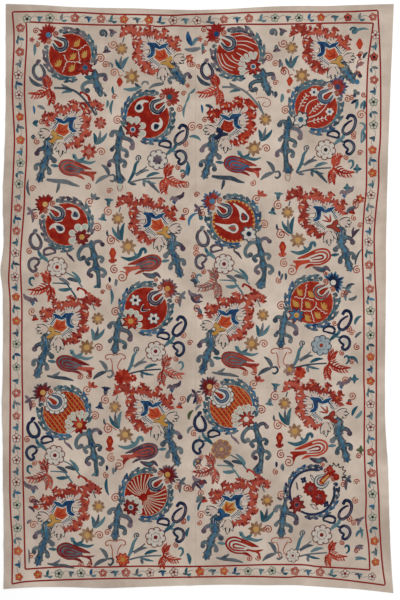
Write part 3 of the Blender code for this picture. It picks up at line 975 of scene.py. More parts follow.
KNOBBED = (5, 9)  # the pomegranates whose stem ends in a large knob
Company = namedtuple(
    "Company", "band middle flower edge heart plume shade sprout bud",
    defaults=("white", "border_red", "border_red", "vermilion", "brick", "violet", "brick"),
)
COMPANY = (
    Company("slate", "violet", None),
    Company("navy", "violet", None),
    Company("navy", "slate", edge="violet", heart="violet"),
    Company("navy", "slate", heart="black"),
    Company("violet", "slate", heart="vermilion", bud="slate"),
    Company("violet", "slate", plume="mauve"),
    Company("navy", "navy", plume="brick", shade="mauve", sprout="slate"),
    Company("navy", "navy", "ice", "slate", "brick", sprout="teal"),
    Company("navy", "navy", plume="brick", shade="mauve"),
    Company("navy", "navy", "mauve", "yellow", "yellow", "brick", "mauve"),
    Company("navy", "violet", sprout="slate"),
    Company("navy", "violet", sprout="slate"),
)


def top_company(hoop, look):
    """The stem, plume, small pink flower, leaves and curls round a pomegranate of the top row."""
    knot_stem(hoop, TOP_KNOTS, TOP_HOOKS, [(24-21.6j, 14.3-21.2j, 4.6)])
    hoop.curl(-34+24j, 3.5)
    hoop.petals("pink", -38+15j, around(5), 0.5, 3.2, 2.2)
    hoop.ball("brick", -38+15j, 1, 2)
    hoop.curl(-32.8+10.3j, 3, 120, -1.5)
    hoop.leaf("teal", -35.7+11j, -35.9-1j, 3.2, 0.06)
    hoop.leaf("slate", -27-31j, -41-21j, 4.4, 0.16)
    hoop.line("slate", [-28-23j, -26.6-29j, -22.4-33.4j], 1.5)
    plume(hoop.inside(-20.2-33.9j), look.plume, look.shade)
    hoop.line("slate", [-15.8-33j, -1-34j, 8-38.4j, 17-47.6j, 26-60.6j], 2.1, 4)
    hoop.leaf("slate", 2.8-35.3j, -8.7-28.6j, 4, 0.1)
    hoop.leaf("teal", 2.8-36.6j, -8.8-38.6j, 3.2, -0.1)
    hoop.leaf("blue", -36.8-50.5j, -35.7-59.7j, 2.6, 0.05)
    hoop.leaf("slate", -32.8-51j, -24.2-54.5j, 3.6, 0.05)


for k, (fruit, look) in enumerate(zip(FRUITS, COMPANY)):
    hoop = Hoop(at(fruit.across, fruit.down), fruit.mirrored)
    paisleys(hoop, look.band, look.middle, look.flower is not None, fruit.mirrored)
    hoop.curl(30.5-3.4j, 4.6, 130, -1.7, tail=25.6-0.6j)
    if look.flower is None:
        top_company(hoop, look)
        continue
    lower, last_row = k > 3, k > 9
    cup = fruit.mirrored and lower
    if fruit.mirrored:
        knots = FACING_KNOTS[:7] + [(30.8-46j, 3)] if cup else FACING_KNOTS
        knot_stem(hoop, knots, FACING_HOOKS[:4] if cup else FACING_HOOKS, [])
    else:
        knots = FRUIT_KNOTS[:6] + KNOB_END if k in KNOBBED else FRUIT_KNOTS
        knot_stem(hoop, knots, FRUIT_HOOKS, [(32-60j, 26.7-62.7j, 3)])
    if lower:
        for base, tip, width in ((-35+13.4j, -39.4+17.6j, 3.4), (-35+13.4j, -40+9.8j, 3.4),
                                 (-35.4+14.4j, -34.2+1.2j, 3.8), (-35+14j, -29+14.4j, 2)):
            hoop.leaf(look.sprout, base, tip, width, 0.08)
    if cup:
        hoop.leaf("slate", 28.4+29j, 30.7+22.1j, 2.8, 0.08)
    elif lower:
        hoop.curl(23+22.6j, 5, -60, -1.6)
        for tip, width in ((24.6+31.6j, 3.8), (29.4+31j, 3.6), (33.8+26j, 3.2)):
            hoop.leaf(look.bud, 28.2+24.6j, tip, width, 0.1)
    hoop.curl(-31.1+8.1j, 3.9, 60)
    hoop.curl(-37.1-27j, 3.7, 40, 1.6)
    hoop.curl(-30.4-50.6j, 3, 90, -1.5)
    hoop.line("teal", [-33.6-62j, -36.8-58.4j, -36.4-54.4j, -33.6-53.6j, -32.6-55.8j],
              [1, 2.6, 2.8, 2.6, 1.2])
    white_flower(hoop.inside(-9.6-42.8j), look.flower, look.edge, look.heart)
    plume(hoop.inside(-17.4-60.6j, size=0.84 if last_row else 1), look.plume, look.shade)
    fruit_leaves(hoop, fruit.mirrored, cup)


# Palmettes
# Each has a bloom in a blue calyx, with pale fringed petals and a long serrated crest sweeping round it.
# Below hang a knotted stem and a tulip; a rosette, a star flower and a sprout stand outside the crest.
CREST_FULLNESS = 1.07
TOOTH_SPACING = 1.7
SLIT = -0.9  # the lobes swell in and out like a wave, and this deep in it bare cloth parts them


def crest(hoop, silk, points, widths):
    """A ragged mass: lobes of uneven teeth along both sides, with slits of bare cloth between the lobes."""
    widths = [CREST_FULLNESS * width for width in widths]
    hoop.line(silk, points, widths, 1)
    places = hoop.place(points)
    lengths = np.concatenate(([0], np.cumsum(np.abs(np.diff(places)))))
    for k, distance in enumerate(np.arange(0.8, lengths[-1], TOOTH_SPACING)):
        spot, onward = (
            complex(np.interp(d, lengths, places.real), np.interp(d, lengths, places.imag))
            for d in (distance, distance + 0.8)
        )
        if abs(onward - spot) < 0.1:
            continue
        way = (onward - spot) / abs(onward - spot)
        half = np.interp(distance, lengths, widths) / 2
        for side in (1j, -1j):
            swell = math.sin(0.8 * distance + 1.3 * side.imag)
            if swell < SLIT and half > 1.8:
                edge = spot + way * side * (half + 1.2)
                whole.leaf("cream", edge, spot + way * side * half * 0.3, 1.5, 0.1, 4, 0.4)
                continue
            root = spot + way * side * (half - 0.9)
            tooth = "border_red" if k % 4 == 1 else silk
            reach = 1.7 + 1.8 * max(swell, 0) + hand.uniform(0, 0.7)
            whole.leaf(tooth, root, root + way * (side * reach + 0.8), 1.9, 0.1 * side.imag, 1 + k % 2)


CREST_RUNS = (
    ([-37.8+19.2j, -39.4+23.2j, -36.6+26.4j, -31.8+26.4j, -27.4+24j, -23.2+20j, -21.8+15j,
      -23.6+9j, -23.4+4.6j, -24.2-1.4j, -21.2-6j, -17-10.4j, -11-15j, -6-15.6j, -3-15.2j],
     [5.2, 4.6, 4.4, 5.2, 6.4, 9.6, 8, 7.6, 5, 7.6, 5.2, 6.6, 5.2, 4.4, 2]),
    ([-24+22j, -18.4+21.8j, -12.6+22.4j, -7.4+21.2j, -3.2+18.4j, 1+18.4j, 5.6+16.4j, 8.8+12.8j,
      12.4+10.4j, 14.2+7.4j, 15.2+3.6j],
     [6, 6.2, 8, 6, 5.4, 6.4, 5.2, 5.4, 7.6, 5.6, 3]),
    ([-13.4+22j, -12.4+26.4j, -11.2+30.6j], [7.6, 5.6, 3.4]),
    ([-0.6+17.4j, 1.8+21.6j, 5.4+26j], [6.6, 5.8, 3]),
    ([10.4+10.4j, 13.6+13.8j, 18+16.6j], [7.6, 6.2, 3.4]),
    ([-22.6+11.6j, -26.6+11.4j, -30+10.8j], [6.8, 5, 2.4]),
    ([-22.6-1.2j, -26.4-2.4j, -29.4-4.4j], [7.4, 5.4, 2.6]),
    ([-15-11.4j, -17.2-14j, -19-17j], [7.4, 5.6, 2.6]),
)
CREST_MASSES = (
    ([-26+24.6j, -21.4+20.6j, -18.6+16.6j], [7.6, 10.4, 4]),
    ([-14.4+22.4j, -9.4+22.6j, -5+20j], [7.4, 8, 4]),
    ([10+10j, 13.2+10.6j, 15.4+7j], [7.6, 8.2, 4.6]),
    ([-15-12j, -11.6-13.6j, -8-15j], [7, 6.4, 4]),
)
PALE_PETALS = (
    (-15+14j, ((-21.6+19.6j, 4.6),)),
    (-8.8+11.4j, ((-14.2+18.8j, 3.4), (-11.4+19.4j, 3.4), (-8.6+18.6j, 3.4), (-6+16.2j, 3.2))),
    (0.4+10.6j, ((-2.6+14j, 3), (0+16.9j, 3.2), (3.6+16.2j, 3.2))),
    (-11.6+7.4j, ((-19.4+13j, 4), (-22+10.4j, 3.4), (-22.4+6.8j, 3.2))),
    (-11.6-2.2j, ((-19.2+1.2j, 3.4), (-20.4-2.2j, 3.4), (-18.2-5.4j, 3.2))),
    (-3.4-9.2j, ((-12-8.6j, 3.4), (-11.2-11.8j, 3.4), (-7.2-14j, 3.2))),
    (7.2+1.8j, ((9.4+8.6j, 2.8), (12+6.4j, 2.8), (13.4+3.2j, 2.8))),
)
OUTLINED_PETALS = (
    (11.2-3.4j, ((21.4+0.8j, 4.2), (23.4-3.4j, 4), (21.6-7.6j, 3.6), (17.4-8.4j, 3.2))),
    (0.6-12j, ((-4.2-23.2j, 4.2), (1.2-26.4j, 4.2), (5.2-21.8j, 3.6))),
    (4-11.8j, ((8.8-20.4j, 3),)),
)
PALMETTE_KNOTS = [
    (10.6-8j, 5.4), (13-12.4j, 9.6), (13.8-17j, 7.4), (13.2-22.4j, 9), (14.2-27j, 5.4),
    (16.6-31j, 7), (18-36j, 8.6), (19.4-40.6j, 5), (20.6-45.2j, 7.4), (22-49.6j, 6),
    (22.6-52j, 1.6),
]
PALMETTE_HOOKS = [
    ([13-26.4j, 9.4-28.4j, 7.4-30.6j], 4.4),
    ([15-21.6j, 19-18.6j, 23-20.2j, 24.6-23.4j], 4.2),
    ([17.6-36.2j, 14-38j, 12-40.6j, 12.2-42.6j], 4),
    ([18.6-35.6j, 23-34.4j, 26-36j, 25.6-38.4j], 3.8),
]


def petal_group(hoop, edge, base, fingers, width):
    """A fringed petal: cream fingers from one base, edged in white, with a darker silk between them."""
    for tip, wide in fingers:
        hoop.leaf(edge, base, base + (tip - base) * 1.04, wide + width, 0, 2, 0.4)
    for tip, wide in fingers:
        hoop.leaf("white", base, tip, wide, 0, 3, 0.3)
        hoop.leaf("cream", base, base + (tip - base) * 0.9, wide - 1, 0, 4, 0.4)
    for (tip, wide), (following, _) in zip(fingers, fingers[1:]):
        between = (tip + following) / 2
        hoop.leaf(edge, base + (between - base) * 0.62, base + (between - base) * 1.02, 0.9, 0, 5, 0.3)


def calyx(hoop):
    """The blue M-shaped cup, edged with a white line and a black one, with a thin arm down each side."""
    runs = (
        ([-14.6+12j, -10.6+10.4j, -9.2+6j, -9.4+1.6j], [1.6, 5, 4.8, 3.8]),
        ([-11+10.4j, -6.6+10j, -2.4+7j], [4, 5.2, 1.8]),
        ([-3+7j, 1+9j, 6.4+11.8j], [2, 4.2, 1.2]),
        ([-9+1.8j, -12-0.6j, -15-1.6j], [3.8, 3.8, 1.2]),
        ([-13-3j, -8-7j, -3-10.8j], [1.2, 1, 0.8]),
        ([3+8.8j, 5.8+5.2j, 9.2+1.2j], [1.8, 1.2, 0.8]),
    )
    for extra, thread, level, tone in ((2.4, "black", 4, 0.4), (1.5, "white", 5, 0), (0, "blue", 6, 0.1)):
        for points, widths in runs:
            hoop.line(thread, points, [w * 1.15 + extra for w in widths], level, tone, 0)
    hoop.line("navy", [-11.6+10.6j, -9.4+8.4j, -9.2+4j], [1, 2.4, 1.8], 7)
    hoop.line("navy", [-6.6+10.2j, -4.4+9j], [1.8, 1.8], 7)


def tulip(hoop, silk, shade, fins, spread=1):
    """The lying tulip: a fat striped bulb, then a neck that opens in two fins."""
    body = [2.6-36.4j, 1.6-32.4j, -2-30j, -6.6-29.4j, -12-31j, -17-34j, -23-38j, -24-42j,
            -20-44.4j, -14-46j, -7-46.4j, -1-43.8j, 1.9-40.2j]
    hoop.patch(shade, -8-38j, body, 0, 0.5, 4)
    stripes = (
        [-29.9-39.2j, -21-35j, -13-31.6j, -6.6-30j, -1-31.2j, 1.9-34.4j, 1.6-39j, -2-43j,
         -8-45.4j, -15-46j, -22.8-49j],
        [-25-39.6j, -14-35j, -7-33j, -2-34.6j, -1-38.4j, -4.6-42j, -11-43.2j, -20-43.2j],
        [-18-39.6j, -9-36.6j, -5-37.4j, -6.4-40j, -16-41j],
    )
    for points in stripes:
        count = len(points) - 1
        widths = [0.9 + 1.1 * math.sin(math.pi * k / count) ** 0.5 for k in range(count + 1)]
        hoop.line(silk, points, widths, 2)
    hoop.line(silk, [-12-33j, -21-37.2j, -30.4-39.6j], [2, 3.2, 1], 1)
    for points in ([-18-42j, -26-43.4j, -31-43.2j, -35-42.2j],
                   [-27-43.6j, -30.6-46.4j, -31.6-51.4j]):
        hoop.line(fins, points, [width * spread for width in (3, 4.4, 4.2, 1)[-len(points):]], 2)
    hoop.line(silk, [-14-45.4j, -19-46.6j, -23.2-49.4j], [2, 3, 0.8], 1)


def hanging_bud(hoop, silk, base, tip, width=3.6):
    """A small cup of three pointed petals."""
    run = tip - base
    for turn in (-0.6, -0.2, 0.2, 0.6):
        hoop.leaf(silk, base, base + run * cmath.rect(1, turn), width, -turn * 0.5)
    hoop.ball("slate", base + run * 0.3, 0.4 * width, 1)


Spray = namedtuple("Spray", "across down mirrored bloom base crest tulip shade fins rosette heart",
                   defaults=("orange", "yellow", "brick", "brick", "slate", "brick", "taupe", "yellow"))
SPRAYS = (
    Spray(162, 55.5, False),
    Spray(332, 54.5, False),
    Spray(61.6, 130, True, rosette="brick", heart="pink"),
    Spray(226.6, 126.6, True, "vermilion", "navy", "vermilion", shade="blue"),
    Spray(158.3, 225.2, False),
    Spray(328, 219, False, "white", "brick", "brick", "vermilion", "white", "vermilion"),
    Spray(59.2, 325.7, True, tulip="border_red"),
    Spray(224.2, 322, True),
    Spray(155.4, 413.5, False, tulip="violet", shade="brick"),
    Spray(325, 410, False, "white", "brick", "brick", "vermilion", "white", "vermilion"),
    Spray(59.8, 513.3, True, tulip="border_red", fins="border_red"),
    Spray(228.4, 507.4, True, "yellow", "blue", "brick", "vermilion", "white", "vermilion"),
)
SHORT_KNOTS = [
    (8.6-7.6j, 5), (11.9-13.4j, 9.8), (14.8-18j, 8.4), (17.6-22j, 8.8), (20.4-26j, 5.6),
    (21.8-29.6j, 1.4),
]
SHORT_HOOKS = [
    ([13.6-22.5j, 9-22.5j, 6.7-25.2j, 8.4-27j], 3.2),
    ([21.4-24.6j, 23-19.8j, 26.2-18.2j, 28-21.4j], 3.4),
]
SPROUTS = {
    "top": (-39.8-13.9j, (-46.4-3.4j, -40.4-0.6j, -33-1j)),
    "facing": (-33.6-14.5j, (-31.8-2.6j, -38.8-0.4j, -45.6-2.8j)),
    "usual": (-36-15.2j, (-46.2-1.6j, -40+1j, -33.6+2.6j)),
}
BLOOM = [-7+6.2j, -3.4+4.8j, -0.6+5.6j, 3+7j, 4.4+3.2j, 6.8-0.7j, 4.4-4j, -2.4-6.8j,
         -5.6-4.6j, -8.6-1.8j, -6.2+1j]


def top_growth(hoop):
    """The leaves, buds and curls beside a palmette of the top row."""
    hoop.line("teal", [-20.3-31j, -26-33.4j, -32-34.2j, -39-33.4j], [1.4, 4.4, 4.2, 0.8])
    hoop.leaf("slate", -22-31j, -27.4-27j, 3.2, 0.1)
    hoop.line("slate", [-13.4-33.4j, -8-30j, -2-28.6j, 2.4-28j], [1.2, 3.8, 4, 1])
    hoop.line("slate", [-20.4-30j, -18.4-26.6j, -14.6-26.6j, -13.8-29.6j], [1.6, 2.2, 2.2, 1.4])
    hoop.line("vermilion", [-42.6-22.4j, -42.2-26.6j, -42.6-31.6j], [2.4, 6.8, 1], 1)
    hoop.line("curl", [-38.6-20j, -41.4-20.4j, -42.6-23j], 1.2)
    hoop.curl(-47.9-17.3j, 4.5, 0, 1.6, tail=-42.6-22j)
    hoop.curl(-56.5-9.3j, 4, -40, 1.6)
    hoop.line("slate", [-52.6-6.8j, -50-9.6j, -50-13j], [1, 3, 1])
    hanging_bud(hoop, "violet", -51.4+18.4j, -48.4+26j, 4.2)
    hoop.curl(-59.3+22j, 4.4, -60, 1.3, 2.6, "slate")
    hanging_bud(hoop, "violet", -56+9.6j, -55+2j, 4)
    hoop.curl(-48.6+11.2j, 5, 150, 1.6)
    hanging_bud(hoop, "frame_red", 28-4.6j, 26.6+1j, 2.8)
    hoop.curl(28.6-8.7j, 4, 60)


def facing_growth(hoop, upper):
    """The leaves and curls below a palmette that faces left."""
    hoop.line("teal", [-34.6-31j, -28-33j, -21-31.4j, -16-30.6j, -13.6-27.6j, -11.4-25.6j],
              [0.8, 3.4, 4, 4, 3.4, 2])
    hoop.curl(-12.6-27j, 2.6, 30, 0.9, 2.2, "teal")
    hoop.leaf("teal", -16-30.6j, -24-26.4j, 3, 0.1)
    if not upper:
        hoop.line("slate", [12.4-50.2j, 4.6-51.6j, -6-52.6j, -15-55j], [1.6, 3.4, 4, 1])
        hoop.leaf("slate", 8-50.6j, -1-45.8j, 3.2, 0.1)
        hoop.curl(-20.7-51j, 3.4, 90)
        hoop.curl(-30-50j, 3.2, 0, -1.5)
    else:
        hoop.line("slate", [15.2-49.6j, 7.2-50.7j, -4.3-51.9j, -12-54.6j, -18.1-56.5j],
                  [2.4, 4.6, 5.2, 3.8, 1])
        hoop.line("slate", [2.6-53j, 3.2-58j, 5.4-63.3j], [3, 3.6, 0.8])
        hoop.curl(-26.1-56.5j, 3.5, 90)
    hoop.leaf("slate", -47.6-46.4j, -39.4-34.6j, 4.4, 0.14)
    hoop.leaf("slate", -47.6-46j, -33.6-54j, 4.4, 0.1)
    hoop.line("slate", [-47.6-45.8j, -52-45j, -53.4-48.8j, -50.4-51.6j, -48-50j], [1.6, 2.4, 2.6, 2.4, 1.4])
    hoop.curl(-39.8-22j, 4.6, 0, 1.6)


def usual_growth(hoop, buds):
    """The leaves, buds, curls and one small lantern flower beside any other palmette."""
    hoop.line("teal", [-38-31.8j, -29.3-34.2j, -21.6-31.6j, -18.2-28.4j, -16.9-24.7j, -14.3-23.8j,
                       -12.8-26.4j, -14-28j], [0.8, 4.4, 4.8, 4.2, 3.8, 3.8, 3.4, 1.6])
    hoop.leaf("teal", -20-31j, -24.6-26.6j, 2.6, 0.1)
    hoop.line("violet", [-16-47.6j, -10-50.2j, -5.6-50.8j, -1.6-48.8j, 2.6-53j], [1, 5.4, 6.2, 4.6, 1.2])
    hoop.line("teal", [-9.4-50.4j, -5.8-50.6j, -2.4-50j], [1.6, 3.6, 1.4], 1)
    hoop.curl(-2-54.4j, 2.7, 90, 1.4)
    hanging_bud(hoop, buds, -50.1+18.6j, -49.2+27.4j, 3.6)
    hanging_bud(hoop, buds, -54.6+12j, -56+4j, 3.6)
    hoop.curl(-49.8+13.7j, 5.2, 60, 1.7)
    hoop.curl(-46.8-15.2j, 5, 100, 1.7, tail=-37.4-18j)
    hoop.leaf("slate", -49.8-11.4j, -51-4.6j, 2.4)
    hoop.line("vermilion", [-45.5-22.4j, -45.5-27.6j, -45.6-33j, -45.9-38j], [2.4, 7.6, 3.8, 4], 1)
    hoop.line("orange", [-45.5-25.4j, -45.5-29.6j], [2.6, 2.6], 2, 0)
    hoop.line("brick", [-49.2-34.6j, -46-36.4j, -41.6-34.4j], [2.4, 3.6, 2.4], 1)
    hoop.curl(-43.8-44.4j, 4.8, 60, 1.7)
    hoop.curl(-36.3-51.8j, 5.9, 120, -1.7)
    hoop.leaf("navy", -49-51.4j, -48.6-57.6j, 2.8, 0.04)
    hoop.leaf("slate", -42.6-53.6j, -42.2-61.4j, 2.8, 0.04)
    hoop.curl(-49.1-61.8j, 3.4, 90)


# The palmettes, counted row by row, that differ from their neighbours over the crest
SHORT_CREST = 3
TWO_CARNATIONS = 8
MAUVE_FLOWER = 9
for k, spray in enumerate(SPRAYS):
    hoop = Hoop(at(spray.across, spray.down), spray.mirrored)
    top, upper, last_row = k < 2, k < 4, k > 9
    for run, (points, widths) in enumerate(CREST_RUNS):
        if run == 0 and k == SHORT_CREST:
            points, widths = points[4:], widths[4:]
        elif run == 0 and spray.mirrored:
            widths = [2.6, 2.8, 3, 3.6, *widths[4:]]
        crest(hoop, spray.crest, points, widths)
    if upper:
        for points, widths in CREST_MASSES:
            crest(hoop, spray.crest, points, widths)
    else:
        crest(hoop, spray.crest, [-29.2+26j, -29.3+30j, -29.4+33.4j], [4.2, 3.6, 2.2])
    if spray.mirrored and k != SHORT_CREST:
        hoop.line("vermilion", [-18.5+34.5j, -19.5+37.5j, -23+36.6j, -26.6+33.6j, -28.3+28.6j],
                  [2.6, 2.4, 2, 3, 3.6])
    if k == TWO_CARNATIONS:
        hoop.petals("vermilion", -32.7+36j, around(13), 1, 8.8, 4.4, 1)
        hoop.ball("vermilion", -32.7+36j, 4.6, 1)
        hoop.petals("vermilion", -22.4+35.4j, around(7), 0.6, 4.2, 2.6, 1)
    if k == MAUVE_FLOWER:
        hoop.petals("vermilion", -25+37.4j, around(9), 1, 6.4, 4, 1)
        hoop.ball("vermilion", -25+37.4j, 3.6, 1)
        hoop.petals("mauve", -35.4+40.6j, (60, 120, 200, 250, 290, 340), 0.8, 6.8, 4.6, 1)
        hoop.ball("yellow", -35.4+40.6j, 2.4, 3)
    stalk = [-31.6+25.8j, -36+15j] if spray.mirrored else [-37.6+18.6j, -39.4+12.6j]
    hoop.line("slate", stalk, 1.6)
    for middle in (-13+24.4j, 1.2+20.4j, 12.4+12j, -25.6-1.6j, -16-13j, -26+11.2j, -22.8+19.4j):
        hoop.leaf("orange", middle - 1.6 - 1.2j, middle + 1.8 + 1.4j, 1.8, 0.1, 3, 0.3)
    for base, fingers in PALE_PETALS:
        petal_group(hoop, "violet", base, fingers, 0.5)
    for base, fingers in OUTLINED_PETALS:
        petal_group(hoop, "black", base, fingers, 1.3)
    calyx(hoop)
    middle = -1+0.2j
    hoop.patch("white", middle, [middle + (p - middle) * 1.1 for p in BLOOM], 6, 0.4, 3)
    hoop.patch(spray.bloom, middle, BLOOM, 7, 0.1, 3)
    for spot in (-5+4.4j, 1.6+5j, -6.4-1.4j):
        hoop.leaf("vermilion" if spray.bloom != "white" else "brick", 3-3j, spot, 2, 0, 8, 0.6)
    for points, widths in (
        ([9.8-1.6j, 6.4-4.2j, 6.3-8j, 9.4-11.2j, 12.6-11.4j], [2.2, 4.6, 4.2, 4, 2]),
        ([-1.6-8j, 4.2-7.6j, 8-9.6j], [1.4, 3.8, 3.2]),
        ([7.6-3.8j, 10.2-3.6j], [4.4, 4]),
    ):
        hoop.line("black", points, [w + 0.7 for w in widths], 7, 0.6)
        hoop.line(spray.base, points, widths, 8, 0.2)
    if top:
        knot_stem(hoop, SHORT_KNOTS, SHORT_HOOKS, [])
    else:
        knot_stem(hoop, PALMETTE_KNOTS, PALMETTE_HOOKS, [(17-20j, 19.2-15.6j, 3.4)])
    for offset in (-2.4, 0, 2.4):
        hoop.line("white", [12.6 + offset - 11j, 13 + offset * 0.8 - 16j], [0.5, 0.4], 5, 0.9)
    rosette = hoop.inside(-38.7+7j if spray.mirrored else -40.4+6.6j)
    for angle in around(8, 10):
        spot = polar(4.7, angle)
        rosette.line(spray.rosette, [0.4 * spot, spot], [2, 3.2], 1)
        rosette.ball(spray.rosette, spot, 1.7, 1)
    rosette.ball(spray.rosette, 0, 3.6, 1)
    rosette.ball(spray.heart, 0, 2.7, 3, 0.5)
    star = hoop.inside(-27.5-21.7j if spray.mirrored else -30.2-21.2j)
    star.petals(spray.rosette, 0, around(8, 5), 0.8, 8.2, 3.7, 1)
    star.ball(spray.rosette, 0, 4, 1)
    star.ball(spray.heart, 0, 3, 3, 0.6)
    base, tips = SPROUTS["facing" if spray.mirrored else "top" if top else "usual"]
    for silk, tip, width in zip(("teal", "slate", "teal"), tips, (4, 3.2, 4.2)):
        hoop.leaf(silk, base, tip, width, 0.1)
    hoop.line("slate", [base, base + 2.4 - 3j], 1.3)
    if top:
        top_growth(hoop)
        continue
    if not upper:
        crown = hoop.inside(10-1j if spray.mirrored else 0)
        for silk, points, widths in (
            ("violet", [11.4+24.4j, 14.4+27.6j, 17+24.6j, 18.4+27.6j, 22+25.4j],
             [1, 4, 4.6, 4.2, 1.4]),
            ("violet", [18.4+27.6j, 23.4+29j, 25.6+33.4j], [4.2, 4.6, 1]),
            ("blue", [15+24.8j, 16.4+22.8j, 16.2+20.6j], [4, 3.4, 0.8]),
        ):
            crown.line(silk, points, widths)
        hanging_bud(hoop, "vermilion", 24.8+11.4j, 23.8+4.6j, 3.8)
        hoop.curl(27+14.3j, 4.2, -120)
    tulip(hoop, spray.tulip, spray.shade, spray.fins, 0.5 if last_row else 1)
    hoop.line("teal", [11.4-35.2j, 6.8-35.8j, 2.6-36.2j], [1.2, 4, 1.2])
    if spray.mirrored:
        facing_growth(hoop, upper)
    else:
        usual_growth(hoop, "navy" if k == TWO_CARNATIONS else "teal")


# Fillings between the big motifs
# Curls, single leaves, buds and small flowers fill the ground down the middle seam and along the right side.
CURLS = (
    (204, 52, 2.4, 0, 1.2), (193, 64, 3.6, 90, 1.5), (198.6, 66, 3.2, 0, -1.4), (183.6, 93.6, 3, 0, 1.4),
    (187.6, 86, 2.6, 180, -1.4), (205, 120, 3.4, 0, 1.4), (192.2, 127, 5, 45, 1.7),
    (41.8, 122.2, 3.4, 0, 1.5), (200, 127, 3.4, 200, -1.4), (186, 185, 3.6, 90, -1.5),
    (196.7, 194.7, 3.2, 0, 1.4), (37.2, 141.7, 3.5, 90, 1.5), (109.5, 191, 3.4, 0, 1.5),
    (32.6, 188.8, 3.6, 0, 1.5), (114.4, 97, 3, 0, 1.4), (183, 176, 2.8, 0, 1.4), (196, 254, 3.6, 0, 1.5),
    (193, 276, 3.4, 120, -1.4), (197, 299, 3, 0, 1.4), (201, 317, 3, 90, 1.4), (190, 343, 3.2, 0, 1.4),
    (200, 402, 3, 0, 1.4), (198, 467, 3.8, 0, 1.5), (191, 489, 3.4, 90, 1.4), (202, 482, 3.2, 0, -1.4),
    (201, 515, 4.5, 0, 1.6), (199, 523, 3, 90, -1.4), (360.4, 54.4, 3, 0, 1.4), (358.4, 73, 3.6, 90, 1.5),
    (352, 98, 3.2, 0, 1.4), (363.5, 94.6, 3, 0, -1.4), (361, 115, 5, 0, 1.6), (354, 137, 3, 90, 1.4),
    (360, 153, 3.2, 0, 1.4), (340, 155, 3.2, 0, -1.4), (355, 202, 3, 0, 1.4), (354, 218, 3.2, 90, 1.4),
    (360, 225.5, 3.2, 0, 1.4), (357, 270, 4.4, 60, 1.6), (346.6, 293, 3.4, 0, 1.4), (352, 333, 3.4, 0, 1.4),
    (334.6, 323, 3, 0, -1.4), (357, 347, 3.6, 90, 1.5), (352, 362, 3.2, 0, 1.4), (345, 380, 3.6, 0, 1.5),
    (359, 456, 3.6, 0, 1.4), (355.7, 500.6, 3.8, 90, 1.5), (354, 523, 3.6, 0, 1.5),
    (356.5, 551, 3.2, 0, 1.4), (275.5, 83, 3.2, 0, 1.4), (288.7, 91.7, 2.5, 0, 1.3),
    (283.6, 69.4, 3, 0, 1.4), (102.7, 292.2, 2.6, 0, 1.4), (38.5, 506, 5, 60, 1.5), (33.5, 525, 4.5, 0, 1.5),
    (31.5, 556, 3.5, 0, 1.4), (107.5, 532.4, 3.6, 0, 1.4), (187, 488.6, 4.4, 0, 1.5),
    (184, 520.6, 3.4, 90, 1.5), (356, 482, 3.4, 0, 1.4), (264, 530, 3, 0, 1.4),
)
for across, down, radius, start, turns in CURLS:
    whole.curl(at(across, down), radius, start, turns)

